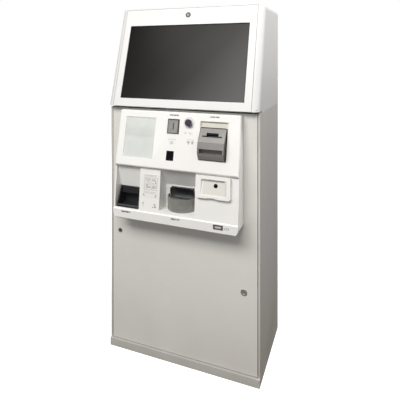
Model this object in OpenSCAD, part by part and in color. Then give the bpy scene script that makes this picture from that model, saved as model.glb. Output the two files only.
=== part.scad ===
// Floor-standing ticket vending machine: steel cabinet, tilted display head and a
// front door that carries the customer console. The origin is the centre of the
// plinth's underside, +Z is up and the front faces -Y.

/* [Cabinet] */
// Width over the side panels
cabinet_w = 700; // [690:1:860]
// Depth from the door's face to the rear panel
cabinet_d = 390; // [370:1:500]
// Height of the body from the floor to the shadow gap
body_h = 1100; // [1090:1:1340]
// Height of the plinth
plinth_h = 34; // [24:1:60]
// How far the plinth stands out in front of the door
plinth_lip = 8; // [0:1:20]
// Thickness of the cabinet's sheet steel
sheet = 2; // [1.5:0.1:3]
// Visible width of each side panel's folded front edge
panel_edge = 8; // [6:0.5:14]
// Distance between the floor anchors, side to side
anchor_span_x = 560; // [460:5:580]
// Distance between the floor anchors, front to back
anchor_span_y = 260; // [200:5:270]
// Radius of a floor anchor hole
anchor_r = 7; // [5:0.5:9]

/* [Front door] */
// Gap around the door
door_gap = 3; // [3:0.5:5]
// Depth of the door's folded edges
door_t = 22; // [18:1:30]
// Distance from the door's left edge to its hinge axis
hinge_inset = 14; // [12:1:18]
// Distance from the door's face back to its hinge axis
hinge_setback = 7; // [7:0.5:8]
// Radius of the door's pivot pins
pivot_r = 5; // [3:0.5:5]
// Radial running clearance of every shaft in its bore
run_gap = 0.05; // [0.02:0.01:0.09]

/* [Display head] */
// Backward lean of the display
head_tilt = 16; // [5:0.5:20]
// Length of the head's front, measured along the slope
head_slant = 467; // [456:1:560]
// How far the head's foot stands out in front of the door
head_out = 30; // [3:1:34]
// Shadow gap between the body and the head's front
head_gap = 8; // [7:0.5:14]
// Radius of the head's upright front edges
head_edge_r = 28; // [20:1:32]
// Wall of the head housing
head_wall = 2.5; // [2:0.1:4]
// Width of the display opening
screen_w = 579; // [500:1:600]
// Height of the display opening
screen_h = 345; // [281:1:352]
// Width of the frame below the display opening
screen_sill = 37; // [30:1:44]
// Thickness of the display frame
frame_t = 22; // [20:1:30]

/* [Console] */
// Width of the console
console_w = 565; // [560:1:600]
// Wall of the console mouldings
console_wall = 3; // [2:0.5:4]
// Radius of the console's lower corners
console_corner_r = 25; // [10:1:30]
// How far the upper cover stands out at its top
cover_top_out = 30; // [24:1:36]
// How far the upper cover stands out at its lower edge
cover_low_out = 78; // [74:1:84]
// Height of the lip at the foot of the console
lip_h = 44; // [36:1:50]

/* [Units] */
// Width of the banknote unit
note_w = 114; // [108:1:116]
// Width of the banknote entry
note_slot_w = 84; // [80:1:88]
// Height of the banknote entry
note_slot_h = 5; // [4.5:0.1:6]
// Width of the coin slot
coin_slot_w = 3.4; // [2.6:0.1:3.6]
// Radius of the coin cup
cup_r = 66; // [60:1:68]
// Inside width of the ticket tray
tray_w = 100; // [90:1:104]
// Radius of the ticket paper roll
roll_r = 40; // [30:1:41]
// Radius of the key locks' turning plugs
plug_r = 6.5; // [5.5:0.1:7]

/* [Hidden] */
$fn = 48;

// Cabinet
half_w = cabinet_w / 2;
front = -cabinet_d / 2;
back = cabinet_d / 2;
plinth_wall = 3;
anchor_access_r = 2.3 * anchor_r;
floor_z = plinth_h + sheet;
fold = 15;
fold_y = back - 2 * sheet;
seal_d = 10;
seal_y = front + frame_t + 8;

// Front door
door_half = half_w - panel_edge - door_gap;
door_z0 = plinth_h + 4;
door_z1 = body_h - door_gap;
hinge_x = -door_half + hinge_inset;
hinge_y = front + hinge_setback;
hinge_block = 20;
door_back = front + door_t;
top_plate_front = door_back + 8;
pivot_plate_t = 2.5;

// Head
head_front = front - head_out;
head_z = body_h + head_gap;
head_seat = body_h + 0.6;
head_step_y = front + 28;
head_top = head_z + head_slant * cos(head_tilt);
head_top_front = head_front + head_slant * sin(head_tilt);
head_corner_r = 24;
display_half = half_w - head_edge_r - 2;
display_top = head_slant - 6;
display_hinge_v = 8;
display_hinge_w = -8;
display_pin_r = 3;
pin_seat = 0.02;
frame_gap = 1.5;
display_flange_r = 12.5;
bezel_t = 4;
glass_t = 3;
glass_lap = 8;
display_lock_v = head_slant - 39;

// Console heights, from the top down
console_half = console_w / 2;
console_top = body_h - 8;
cover_low_z = console_top - 230;
split_z = cover_low_z - 9;
lower_top_z = split_z - 0.5;
console_z0 = console_top - 464;
lip_z = console_z0 + lip_h;
panel_top_out = cover_low_out - 12;
lip_out = panel_top_out + 22;
panel_low_out = lip_out - 4;
upper_tilt = atan((cover_low_out - cover_top_out) / (console_top - 4 - cover_low_z));
lower_tilt = atan((panel_low_out - panel_top_out) / (lower_top_z - 2 - lip_z));

// Places on the console, x from the centre and z from the floor
notice_x = -172.5;
notice_z = console_top - 113;
notice_w = 146;
notice_h = 174;
coin_x = -13.5;
coin_z = console_top - 58;
coin_plate_w = 54;
coin_plate_h = 62;
lever_x = 57;
lever_z = console_top - 40;
lever_ring_r = 24;
lever_r = 14.5;
sensor_x = -19;
sensor_z = console_top - 178;
sensor_w = 34;
sensor_h = 40;
note_x = 168;
note_z = console_top - 107;
note_pocket_w = note_w + 8;
note_pocket_h = 160;
note_pocket_d = 8;
throat_z = console_top - 86;
tray_x = -217;
tray_z0 = console_z0 + 50;
tray_h = 76;
tray_back = 8;
cup_x = 18;
cup_z0 = console_z0 + 55;
cup_h = 54;
cup_back = 12;
cup_wall = 2.5;
bay_margin = 14;
pod_x = 179;
pod_z = console_top - 286;
pod_w = 144;
pod_h = 88;
pod_t = 14;
guide_x = -107;
guide_z = console_top - 312;
guide_w = 76;
guide_h = 96;

// Locks on the door, x from the centre and z from the floor
door_lock_x = door_half - 56;
door_lock_z = body_h - 731;
key_switch_x = hinge_x + 24;
key_switch_z = body_h - 566;
barrel_l = door_t + 4;
cam_t = 3;
key_w = 1.4;

// Units behind the door
unit_y = front + sheet;
roller_r = 6;
roller_y = front + 22;
roller_shaft_r = 2;
nip = 0.4;
roller_half = 53.5;
tyre_x = 24;
tyre_w = 18;
validator_half = 56;
validator_low = 36;
cassette_h = 128;
printer_y1 = front + 122;
printer_z0 = tray_z0 + 2;
roll_y = front + 72;
roll_z = printer_z0 + 150;
spindle_r = 6;
printer_half = 56;
cheek_x = 52;
cheek_t = 4;
paper_w = 80;
shelf_z = console_top - 392;
shelf_front = printer_y1 + 30;
hopper_r = 62;
hopper_x = cup_x;
hopper_y = shelf_front + hopper_r + 12;
disc_z = shelf_z + 100;
hopper_wall = 6;
hopper_tub = 70;
hopper_mouth = 36;
hopper_boss_r = 6;
disc_t = 4;
coin_ring_r = 38;
coin_hole_r = 14;
seat_gap = 0.1;
lock_barrel_r = 9.5;
switch_barrel_r = 8;
lever_hub_r = 9;
lever_shaft_r = 4;
coin_slot_l = 28;
acceptor_w = 50;
throat_v = (throat_z - note_z) / cos(upper_tilt);
note_neck_v = throat_v + (note_pocket_d + 1) * tan(upper_tilt);
neck_h = 20;
neck_out = upper_out(throat_z) - 6;
roller_offset = roller_r + nip / 2;
tray_wall = 2.5;
tray_z1 = tray_z0 + tray_h;
bay_side = 9;
bay_half = tray_w / 2 + bay_side;
rim_out = lower_out(tray_z0) - 1.5;
hood_out = 40;
ticket_z = tray_z0 + 40;
ticket_slot_w = 82;
ticket_slot_h = 10;
flap_pin_r = 1.5;
flap_t = 2.2;
flap_h = 26;
flap_y = front - hood_out + 3;
flap_z = tray_z1 - 2.5;
cup_bay_half = cup_r + bay_margin;
chute_w = 110;
chute_h = 50;
cup_drop = 16;
chute_z = cup_z0 + cup_h - cup_drop + chute_h / 2;
chute_end = cup_back - console_wall - 0.3;
chute_reach = shelf_front - front - 0.6;
label_t = 0.5;
lens_x = 9;
lens_v = 7;
lens_r = 8.5;
holder_z0 = roll_z - roll_r - 3;
holder_z1 = roll_z + roll_r + 8;
platen_r = 7;
platen_shaft_r = 2.5;
platen_y = front + 21;
platen_z = ticket_z - platen_r - 0.5;

// Points of an arc, centre (cx, cy), from angle a0 to a1 in n steps
function arc(cx, cy, r, a0, a1, n = 6) =
    [for (i = [0 : n]) [cx + r * cos(a0 + (a1 - a0) * i / n), cy + r * sin(a0 + (a1 - a0) * i / n)]];

// Outline of a rectangle with rounded corners
function round_rect(x0, x1, y0, y1, r) = concat(
    arc(x1 - r, y1 - r, r, 0, 90), arc(x0 + r, y1 - r, r, 90, 180),
    arc(x0 + r, y0 + r, r, 180, 270), arc(x1 - r, y0 + r, r, 270, 360));

// How far the upper and the lower console panel stand out at height z
function upper_out(z) = cover_low_out - (z - cover_low_z) * tan(upper_tilt);
function lower_out(z) = panel_low_out - (z - lip_z) * tan(lower_tilt);

module block(x0, x1, y0, y1, z0, z1) translate([x0, y0, z0]) cube([x1 - x0, y1 - y0, z1 - z0]);

// A (y, z) outline drawn along X
module along_x(x0, x1) translate([x0, 0, 0]) rotate([90, 0, 90]) linear_extrude(x1 - x0) children();

// An (x, z) outline drawn along Y
module along_y(y0, y1) translate([0, y1, 0]) rotate([90, 0, 0]) linear_extrude(y1 - y0) children();

// An outline of (outwards, z) points measured from the door's face, drawn along X
module out_profile(x0, x1, points)
    along_x(x0, x1) polygon([for (p = points) [front - p[0], p[1]]]);

module rod_x(x0, x1, y, z, r) translate([x0, y, z]) rotate([0, 90, 0]) cylinder(h = x1 - x0, r = r);
module rod_y(y0, y1, x, z, r) translate([x, y1, z]) rotate([90, 0, 0]) cylinder(h = y1 - y0, r = r);

// Local frames whose Z points out of a sloping face and whose Y runs up it
module on_head(x, v) translate([0, head_front, head_z]) rotate([90 - head_tilt, 0, 0])
    translate([x, v, 0]) children();
module on_upper(x, z) translate([x, front - upper_out(z), z]) rotate([90 - upper_tilt, 0, 0]) children();
module on_lower(x, z) translate([x, front - lower_out(z), z]) rotate([90 - lower_tilt, 0, 0]) children();
module on_door(x, z) translate([x, front, z]) rotate([90, 0, 0]) children();

// Plate in a local frame, centred in X and Y, from w0 to w1 along the normal
module plate(w, h, w0, w1, r = 0) translate([0, 0, w0]) linear_extrude(w1 - w0)
    if (r > 0) polygon(round_rect(-w / 2, w / 2, -h / 2, h / 2, r));
    else square([w, h], center = true);

// ---- Cabinet ----

// Folded tray that carries the cabinet, with the floor anchor holes
module plinth() color("#b3afa8") difference() {
    block(-half_w, half_w, front - plinth_lip, back, 0, plinth_h);
    block(-half_w + plinth_wall, half_w - plinth_wall, front - plinth_lip + plinth_wall,
        back - plinth_wall, plinth_wall, plinth_h - sheet);
    block(-half_w + 2 * fold, half_w - 2 * fold, front + 2 * fold, back - 2 * fold,
        plinth_h - 2 * sheet, plinth_h + 1);
    at_anchors() translate([0, 0, -1]) cylinder(h = plinth_wall + 2, r = anchor_r);
}

module at_anchors() for (x = [-1, 1], y = [-1, 1])
    translate([x * anchor_span_x / 2, y * anchor_span_y / 2, 0]) children();

module floor_plate() color("#a9a7a2") difference() {
    block(-half_w + sheet, half_w - sheet, top_plate_front, fold_y, plinth_h, floor_z);
    at_anchors() translate([0, 0, plinth_h - 1]) cylinder(h = sheet + 2, r = anchor_access_r);
}

// Side panel: the front edge is folded into the door's frame, the rear edge carries the rear panel
module side_panel() difference() {
    translate([0, 0, plinth_h]) linear_extrude(body_h - plinth_h) polygon([
        [half_w, front], [half_w, back], [half_w - sheet, back], [half_w - sheet, back - sheet],
        [half_w - fold, back - sheet], [half_w - fold, fold_y], [half_w - sheet, fold_y],
        [half_w - sheet, front + sheet], [half_w - panel_edge + sheet, front + sheet],
        [half_w - panel_edge + sheet, top_plate_front], [half_w - panel_edge, top_plate_front],
        [half_w - panel_edge, front]]);
    at_rear_screws() rod_y(-2 * sheet - 1, 1, 0, 0, screw_r + seat_gap);
}

// Eight screw places along the rear panel's edges, at the panel's outer face
module at_rear_screws() for (x = [-1, 1], i = [0 : 3])
    translate([x * (half_w - 9), back, floor_z + 60 + i * (body_h - floor_z - 120) / 3]) children();

module right_side_panel() color("#cfccc6") side_panel();
module left_side_panel() color("#cfccc6") mirror([1, 0, 0]) side_panel();

fan_x = 0;
fan_z = shelf_z - 240;
fan_size = 120;
fan_depth = 25;
fan_hub_r = 20;
fan_shaft_r = 3;
gland_x = 220;
gland_z = 110;
gland_hole_r = 10;
screw_r = 2;

module rear_panel() color("#c6c3bd") difference() {
    block(-half_w + sheet + 0.3, half_w - sheet - 0.3, back - sheet, back, plinth_h + 0.3, body_h);
    at_rear_screws() rod_y(-sheet - 1, 1, 0, 0, screw_r + seat_gap);
    for (i = [-4 : 4]) block(fan_x - 45, fan_x + 45, back - sheet - 1, back + 1,
        fan_z + i * 11 - 2.5, fan_z + i * 11 + 2.5);
    rod_y(back - sheet - 1, back + 1, gland_x, gland_z, gland_hole_r);
}

// Pan-head screws that hold the rear panel on the side panels' folds
module rear_screws() color("silver") at_rear_screws() {
    rod_y(0, 2, 0, 0, 4);
    rod_y(-2 * sheet - 2, 0.5, 0, 0, screw_r);
}

module top_plate() color("#a9a7a2") difference() {
    block(-half_w + sheet, half_w - sheet, top_plate_front, fold_y, body_h - sheet, body_h);
    translate([160, back - 80, body_h - sheet - 1]) cylinder(h = sheet + 2, r = 20);
}

// Pivot pins of the door: one stands on the floor plate, one hangs from a plate on the top
module hinge_pivots() color("silver") {
    translate([hinge_x, hinge_y, plinth_h]) cylinder(h = hinge_block, r = pivot_r);
    translate([hinge_x, hinge_y, door_z1 - hinge_block + 4])
        cylinder(h = body_h - door_z1 + hinge_block - 4 + 0.5, r = pivot_r);
    block(hinge_x - 12, hinge_x + 12, front - 1, top_plate_front + 25, body_h, body_h + pivot_plate_t);
}

// Keepers that the lock cams turn behind, on the right side panel and under the head's top
module lock_keepers() color("silver") {
    block(door_half - 9, half_w - panel_edge, door_back + 0.8, door_back + 0.8 + sheet,
        door_lock_z - 30, door_lock_z + 30);
    intersection() {
        on_head(0, 0) translate([-18, display_lock_v + 14, -frame_t - 3.8]) cube([36, 60, 2.4]);
        block(-half_w, half_w, front - 50, back, body_h, head_top - head_wall);
    }
}

module shelf() color("#a9a7a2") {
    block(-half_w + sheet, half_w - sheet, shelf_front, fold_y, shelf_z - sheet, shelf_z);
    block(-half_w + sheet, half_w - sheet, shelf_front, shelf_front + sheet, shelf_z - 24, shelf_z - 1);
}

module gap_seal() color("#1c1c1c")
    block(hinge_x + 13, half_w - 14, seal_y, seal_y + seal_d, body_h, body_h + 6.5);

psu_x = 210;
psu_w = 170;
psu_y = 60;
psu_d = 180;
psu_h = 110;
switch_x = psu_x + 40;
switch_z = floor_z + 80;

module power_supply() color("#8f9194") difference() {
    block(psu_x - psu_w / 2, psu_x + psu_w / 2, psu_y - psu_d / 2, psu_y + psu_d / 2, floor_z, floor_z + psu_h);
    block(switch_x - 7.5, switch_x + 7.5, psu_y - psu_d / 2 - 1, psu_y - psu_d / 2 + 14,
        switch_z - 11, switch_z + 11);
    for (i = [-3 : 3]) block(psu_x - 70, psu_x - 10, psu_y - psu_d / 2 - 1, psu_y - psu_d / 2 + 3,
        floor_z + 50 + i * 9 - 2, floor_z + 50 + i * 9 + 2);
    rod_x(switch_x - 9, switch_x + 9, psu_y - psu_d / 2 + 5, switch_z, 1.5 + run_gap);
}

// Rocker of the mains switch, on its own cross pin
module power_switch() color("#202020") {
    out = psu_y - psu_d / 2;
    along_x(switch_x - 6.5, switch_x + 6.5) polygon([[out + 9, switch_z - 5], [out + 9, switch_z + 5],
        [out + 1, switch_z + 9], [out - 3, switch_z + 9], [out - 0.5, switch_z], [out - 1, switch_z - 9],
        [out + 1, switch_z - 9]]);
    rod_x(switch_x - 9, switch_x + 9, out + 5, switch_z, 1.5);
}

// Cable gland in the rear panel; its bore takes the mains lead
module cable_gland() color("#242424") difference() {
    union() {
        rod_y(back, back + 6, gland_x, gland_z, 15);
        rod_y(back - sheet - 8, back + 0.5, gland_x, gland_z, gland_hole_r);
        rod_y(back - sheet - 8, back - sheet, gland_x, gland_z, 14);
    }
    rod_y(back - sheet - 9, back + 7, gland_x, gland_z, 5.5);
}

// Coin hopper: motor housing below, round tub above
module coin_hopper() color("#3c6ea0") difference() {
    block(hopper_x - hopper_r - hopper_wall, hopper_x + hopper_r + hopper_wall,
        hopper_y - hopper_r - hopper_wall, hopper_y + hopper_r + hopper_wall, shelf_z, disc_z + hopper_tub);
    difference() {
        translate([hopper_x, hopper_y, disc_z]) cylinder(h = hopper_tub + 10, r = hopper_r);
        translate([hopper_x, hopper_y, disc_z - 1]) cylinder(h = 8, r = hopper_boss_r);
    }
    block(hopper_x - hopper_mouth / 2, hopper_x + hopper_mouth / 2, hopper_y - hopper_r - 8,
        hopper_y - hopper_r + 8, disc_z + 0.2, disc_z + 6);
}

// Turning disc with a ring of coin holes
module hopper_disc() color("#c9a24a") translate([hopper_x, hopper_y, disc_z + 0.4]) difference() {
    cylinder(h = disc_t, r = hopper_r - 1);
    translate([0, 0, -1]) cylinder(h = disc_t + 2, r = hopper_boss_r + run_gap);
    for (i = [0 : 5]) rotate([0, 0, 60 * i]) translate([coin_ring_r, 0, -1])
        cylinder(h = disc_t + 2, r = coin_hole_r);
}

cash_x = -90;
cash_y = 50;
cash_w = 200;
cash_d = 190;
cash_h = 150;
cash_wall = 2;
lid_pin_r = 3;

module cash_box() color("#6d7074") difference() {
    union() {
        block(cash_x - cash_w / 2, cash_x + cash_w / 2, cash_y - cash_d / 2, cash_y + cash_d / 2,
            floor_z, floor_z + cash_h);
        for (s = [-1, 1]) block(cash_x + s * (cash_w / 2 - 8) - 8, cash_x + s * (cash_w / 2 - 8) + 8,
            cash_y + cash_d / 2 - 1, cash_y + cash_d / 2 + 12, floor_z + cash_h - 12, floor_z + cash_h + 6);
    }
    block(cash_x - cash_w / 2 + cash_wall, cash_x + cash_w / 2 - cash_wall, cash_y - cash_d / 2 + cash_wall,
        cash_y + cash_d / 2 - cash_wall, floor_z + cash_wall, floor_z + cash_h + 1);
    rod_x(cash_x - cash_w, cash_x + cash_w, cash_y + cash_d / 2 + 6, floor_z + cash_h, lid_pin_r + run_gap);
}

// Lid of the cash box with its coin opening and hinge rod
module cash_box_lid() color("#7b7e82") difference() {
    union() {
        block(cash_x - cash_w / 2, cash_x + cash_w / 2, cash_y - cash_d / 2, cash_y + cash_d / 2 - 6,
            floor_z + cash_h + 0.3, floor_z + cash_h + 2.3);
        block(cash_x - cash_w / 2 + 18, cash_x + cash_w / 2 - 18, cash_y + cash_d / 2 - 8,
            cash_y + cash_d / 2 + 7, floor_z + cash_h + 0.3, floor_z + cash_h + 3);
        rod_x(cash_x - cash_w / 2, cash_x + cash_w / 2, cash_y + cash_d / 2 + 6, floor_z + cash_h, lid_pin_r);
    }
    block(cash_x - 40, cash_x + 40, cash_y - 30, cash_y - 18, floor_z + cash_h - 1, floor_z + cash_h + 4);
}

// Control computer on the top plate, with cooling fins
computer_x0 = -140;
computer_x1 = 60;
computer_h = 70;
fin_pitch = 19;
fin_t = 6;
fin_h = 14;
module control_computer() color("#4d5257") {
    block(computer_x0, computer_x1, back - 180, back - 30, body_h, body_h + computer_h);
    for (i = [0 : 9]) block(computer_x0 + 10 + i * fin_pitch, computer_x0 + 10 + fin_t + i * fin_pitch,
        back - 170, back - 40, body_h + computer_h - 1, body_h + computer_h + fin_h);
}

module fan_frame() color("#2b2b2b") difference() {
    block(fan_x - fan_size / 2, fan_x + fan_size / 2, back - sheet - fan_depth, back - sheet,
        fan_z - fan_size / 2, fan_z + fan_size / 2);
    difference() {
        rod_y(back - sheet - fan_depth - 1, back + 1, fan_x, fan_z, fan_size / 2 - 3);
        for (a = [45 : 90 : 315]) translate([fan_x, back - sheet - 3, fan_z]) rotate([0, a, 0])
            translate([-3, 0, 0]) cube([6, 3, fan_size / 2]);
        rod_y(back - sheet - 4, back - sheet, fan_x, fan_z, fan_hub_r);
        rod_y(back - sheet - 18, back - sheet, fan_x, fan_z, fan_shaft_r);
    }
}

module fan_rotor() color("#1f1f1f") difference() {
    union() {
        rod_y(back - sheet - fan_depth + 2, back - sheet - 5, fan_x, fan_z, fan_hub_r - 2);
        for (i = [0 : 6]) translate([fan_x, back - sheet - 14, fan_z]) rotate([0, i * 360 / 7, 0])
            rotate([0, 0, 35]) translate([-1, -8, 10]) cube([2, 16, fan_size / 2 - 16]);
    }
    rod_y(back - sheet - 20, back - sheet, fan_x, fan_z, fan_shaft_r + run_gap);
}

// ---- Display head ----

// Side outline of the head, set in by t from its outer faces
function head_outline(t) = concat(
    [[head_front + (t > 0 ? -60 : 0), head_z]],
    t > 0 ? [[head_top_front - 60, head_top - t]] : [[head_top_front, head_top]],
    arc(back - 10, head_top - 10, 10 - t, 90, 0),
    t > 0 ? [[back - t, head_top - 14], [back + 9, head_top - 14], [back + 9, body_h - 9],
        [head_front - 60, body_h - 9]] : [[back, head_seat], [head_step_y, head_seat], [head_step_y, head_z]]);

// Plan outline of the head's front in the sloping frame, with rounded upright edges
module head_plan(t) on_head(0, 0) rotate([90, 0, 0]) translate([0, 0, -head_slant - 100])
    linear_extrude(head_slant + 300) polygon(concat([[half_w - t, -500], [half_w - t, -head_edge_r]],
        arc(half_w - head_edge_r, -head_edge_r, head_edge_r - t, 0, 90),
        arc(-half_w + head_edge_r, -head_edge_r, head_edge_r - t, 90, 180), [[-half_w + t, -500]]));

// Outline of the head seen from behind, with rounded upper corners, set in by t
function head_back(t) = concat([[-half_w + t, body_h - 20], [half_w - t, body_h - 20]],
    arc(half_w - head_corner_r, head_top - head_corner_r, head_corner_r - t, 0, 90),
    arc(-half_w + head_corner_r, head_top - head_corner_r, head_corner_r - t, 90, 180));

module head_solid() intersection() {
    along_x(-half_w, half_w) polygon(head_outline(0));
    head_plan(0);
    along_y(front - 100, back + 100) polygon(head_back(0));
}

module head_hollow() intersection() {
    along_x(-half_w + head_wall, half_w - head_wall) polygon(head_outline(head_wall));
    head_plan(head_wall);
    along_y(front - 100, back + 100) polygon(head_back(head_wall));
}

// Wedge-shaped shell; the display frame sits between its rounded front edges
module head_housing() color("#f2f2f0") difference() {
    union() {
        difference() {
            head_solid();
            head_hollow();
        }
        intersection() {
            head_solid();
            for (s = [-1, 1]) on_head(s * (half_w - 10), 12) translate([-17, -12.5, -frame_t])
                cube([34, 24, 60]);
        }
    }
    on_head(0, 0) translate([-display_half - frame_gap, -20, -frame_t - 6])
        cube([2 * (display_half + frame_gap), display_top + frame_gap + 20, 60]);
    on_head(0, display_hinge_v) translate([-half_w + 6, 0, display_hinge_w]) rotate([0, 90, 0])
        cylinder(h = cabinet_w - 12, r = display_pin_r + pin_seat);
}

module head_rear_cover() color("#dddbd6") difference() {
    intersection() {
        block(-half_w, half_w, back - head_wall, back, head_seat, head_top - 14.5);
        along_y(back - 20, back + 1) polygon(head_back(head_wall + 0.5));
    }
    for (s = [-1, 1], i = [0 : 7]) block(s * 180 - 60, s * 180 + 60, back - head_wall - 1, back + 1,
        body_h + 120 + i * 14, body_h + 126 + i * 14);
}

module display_hinge_pins() color("silver") for (s = [-1, 1])
    on_head(s * (display_half + 3.5), display_hinge_v) translate([-15.5, 0, display_hinge_w])
        rotate([0, 90, 0]) cylinder(h = 31, r = display_pin_r);

// White frame of the display with the pocket for glass and panel
module display_frame() color("#fafafa") difference() {
    on_head(0, 0) translate([-display_half, frame_gap, -frame_t])
        cube([2 * display_half, display_top - frame_gap, frame_t]);
    on_head(0, screen_sill + screen_h / 2) {
        plate(screen_w, screen_h, -frame_t - 1, 1);
        plate(screen_w + 2 * glass_lap + 2, screen_h + 2 * glass_lap + 2, -frame_t - 1, -bezel_t);
    }
    on_head(0, display_lock_v) translate([0, 0, -frame_t - 1])
        cylinder(h = frame_t + 2, r = lock_barrel_r + seat_gap);
    for (s = [-1, 1]) on_head(s * (display_half - 8), display_hinge_v) translate([-8.5, 0, display_hinge_w])
        rotate([0, 90, 0]) cylinder(h = 17, r = display_pin_r + run_gap);
}

module display_glass() color("#26272a") on_head(0, screen_sill + screen_h / 2)
    plate(screen_w + 2 * glass_lap, screen_h + 2 * glass_lap, -bezel_t - glass_t, -bezel_t);

module display_panel() color("#5a5d60") on_head(0, screen_sill + screen_h / 2) {
    plate(screen_w + 2 * glass_lap, screen_h + 2 * glass_lap, -frame_t + 1, -bezel_t - glass_t);
    plate(260, 160, -frame_t - 18, -frame_t + 1.5);
}

// Fixed barrel of a cam lock, flange at w = 0
module lock_barrel(flange_r, barrel_r, length) difference() {
    union() {
        cylinder(h = 2.5, r = flange_r);
        translate([0, 0, -length]) cylinder(h = length + 1, r = barrel_r);
    }
    translate([0, 0, -length - 1]) cylinder(h = length + 5, r = plug_r);
}

// Turning plug with its key slot and, behind the barrel, its cam
module lock_plug(length, cam_l, cam_angle) {
    difference() {
        translate([0, 0, -length - cam_t + 1]) cylinder(h = length + cam_t + 0.8, r = plug_r - run_gap);
        translate([-key_w / 2, -plug_r + 2, -7]) cube([key_w, 2 * plug_r - 4, 10]);
    }
    rotate([0, 0, cam_angle]) translate([-plug_r, -plug_r, -length - 0.5 - cam_t])
        cube([cam_l + plug_r, 2 * plug_r, cam_t]);
}

module display_lock_body() color("#b9bbbd") on_head(0, display_lock_v)
    lock_barrel(display_flange_r, lock_barrel_r, frame_t + 4);
module display_lock_plug() color("#d5d7d9") on_head(0, display_lock_v) lock_plug(frame_t + 4, 28, 0);

// ---- Front door ----

// Folded door leaf with its hinge blocks and the windows behind the console
module front_door() color("#d2cfc8") difference() {
    union() {
        difference() {
            block(-door_half, door_half, front, door_back, door_z0, door_z1);
            block(-door_half + sheet, door_half - sheet, front + sheet, door_back + 1,
                door_z0 + sheet, door_z1 - sheet);
        }
        for (z = [door_z0, door_z1 - hinge_block])
            block(-door_half + 1, hinge_x + 12, front + 1, hinge_y + 12, z, z + hinge_block);
    }
    for (z = [door_z0, door_z1 - hinge_block]) translate([hinge_x, hinge_y, z - 1])
        cylinder(h = hinge_block + 2, r = pivot_r + run_gap);
    leaf_window(note_x, throat_z, note_slot_w / 2 + 8, neck_h / 2 + 2);
    leaf_window(coin_x, coin_z, acceptor_w / 2 + 1, coin_plate_h / 2 + 1);
    leaf_window(tray_x, ticket_z, ticket_slot_w / 2 + 3, 12);
    leaf_window(cup_x, chute_z, chute_w / 2 + 0.3, chute_h / 2 + 3.3);
    leaf_window(pod_x, pod_z, 25, 12);
    rod_y(front - 1, front + sheet + 1, door_lock_x, door_lock_z, lock_barrel_r + seat_gap);
    rod_y(front - 1, front + sheet + 1, key_switch_x, key_switch_z, switch_barrel_r + seat_gap);
}

module leaf_window(x, z, half_x, half_z)
    block(x - half_x, x + half_x, front - 1, front + sheet + 1, z - half_z, z + half_z);

module door_lock_body() color("#c9cbcd") on_door(door_lock_x, door_lock_z)
    lock_barrel(14, lock_barrel_r, barrel_l);
module door_lock_plug() color("#dcdee0") on_door(door_lock_x, door_lock_z) lock_plug(barrel_l, 55, -90);
module key_switch_body() color("#2a2a2a") on_door(key_switch_x, key_switch_z)
    lock_barrel(10.5, switch_barrel_r, door_t - 2);
module key_switch_plug() color("#3a3a3a") on_door(key_switch_x, key_switch_z) lock_plug(door_t - 2, 12, 0);

// ---- Console covers ----

// Side outline (outwards, z) of the upper cover, set in by t
function upper_outline(t) = [
    [t > 0 ? -1 : 0, console_top - t],
    [cover_top_out - 4 - 0.4 * t, console_top - t],
    [cover_top_out - t, console_top - 4],
    [cover_low_out - t, cover_low_z],
    [cover_low_out - 2 - t, cover_low_z - 5 + 0.4 * t],
    [panel_top_out - 0.4 * t, split_z + t],
    [t > 0 ? -1 : 0, split_z + t]];

// Side outline (outwards, z) of the lower cover, set in by t
function lower_outline(t) = [
    [t > 0 ? -1 : 0, lower_top_z - t],
    [panel_top_out - 2 - 0.4 * t, lower_top_z - t],
    [panel_top_out - t, lower_top_z - 2 - 0.4 * t],
    [panel_low_out - t, lip_z - 0.2 * t],
    [lip_out - t, lip_z - 4 - 0.4 * t],
    [lip_out - t, console_z0 + 5 + 0.4 * t],
    [lip_out - 5 - 0.4 * t, console_z0 + t],
    [t > 0 ? -1 : 0, console_z0 + t]];

// Plan outline of a cover in a sloping frame: upright front edges rounded by r
module cover_plan(t, r) rotate([90, 0, 0]) translate([0, 0, -400]) linear_extrude(800)
    polygon(concat([[console_half - t, -200], [console_half - t, -r]],
        arc(console_half - r, -r, r - t, 0, 90), [[console_half - r, 60], [-console_half + r, 60]],
        arc(-console_half + r, -r, r - t, 90, 180), [[-console_half + t, -200]]));

module upper_solid(t) intersection() {
    out_profile(-console_half, console_half, upper_outline(t));
    along_y(front - 200, front + 5)
        polygon(round_rect(-console_half + t, console_half - t, split_z - 60, console_top, 10));
    on_upper(0, cover_low_z) cover_plan(t, 10);
}

module lower_solid(t) intersection() {
    out_profile(-console_half, console_half, lower_outline(t));
    along_y(front - 200, front + 5) polygon(round_rect(-console_half + t, console_half - t,
        console_z0, split_z + 60, console_corner_r));
}

// Overhanging upper half of the console
module upper_console_cover() color("#f4f4ef") difference() {
    upper_solid(0);
    upper_solid(console_wall);
    on_upper(notice_x, notice_z) plate(notice_w, notice_h, -20, 20);
    on_upper(coin_x, coin_z) plate(coin_plate_w - 8 + 2 * seat_gap, coin_plate_h - 8 + 2 * seat_gap, -20, 20);
    on_upper(lever_x, lever_z) translate([0, 0, -20]) cylinder(h = 40, r = lever_hub_r + seat_gap);
    on_upper(sensor_x, sensor_z) plate(sensor_w + 2 * seat_gap, sensor_h + 2 * seat_gap, -20, 20);
    on_upper(note_x, note_z) plate(note_pocket_w, note_pocket_h, -20, 20);
}

// Hollow of the ticket bay, grown by t
function ticket_bay(t) = [[120, lower_top_z - 1], [panel_top_out - 6 - t, lower_top_z - 1],
    [hood_out - 2 - t, tray_z1 + tray_wall + 0.3 + t],
    [tray_back - tray_wall - 0.3 - t, tray_z1 + tray_wall + 0.3 + t],
    [tray_back - tray_wall - 0.3 - t, tray_z0 - tray_wall - t], [120, tray_z0 - tray_wall - t]];

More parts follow.
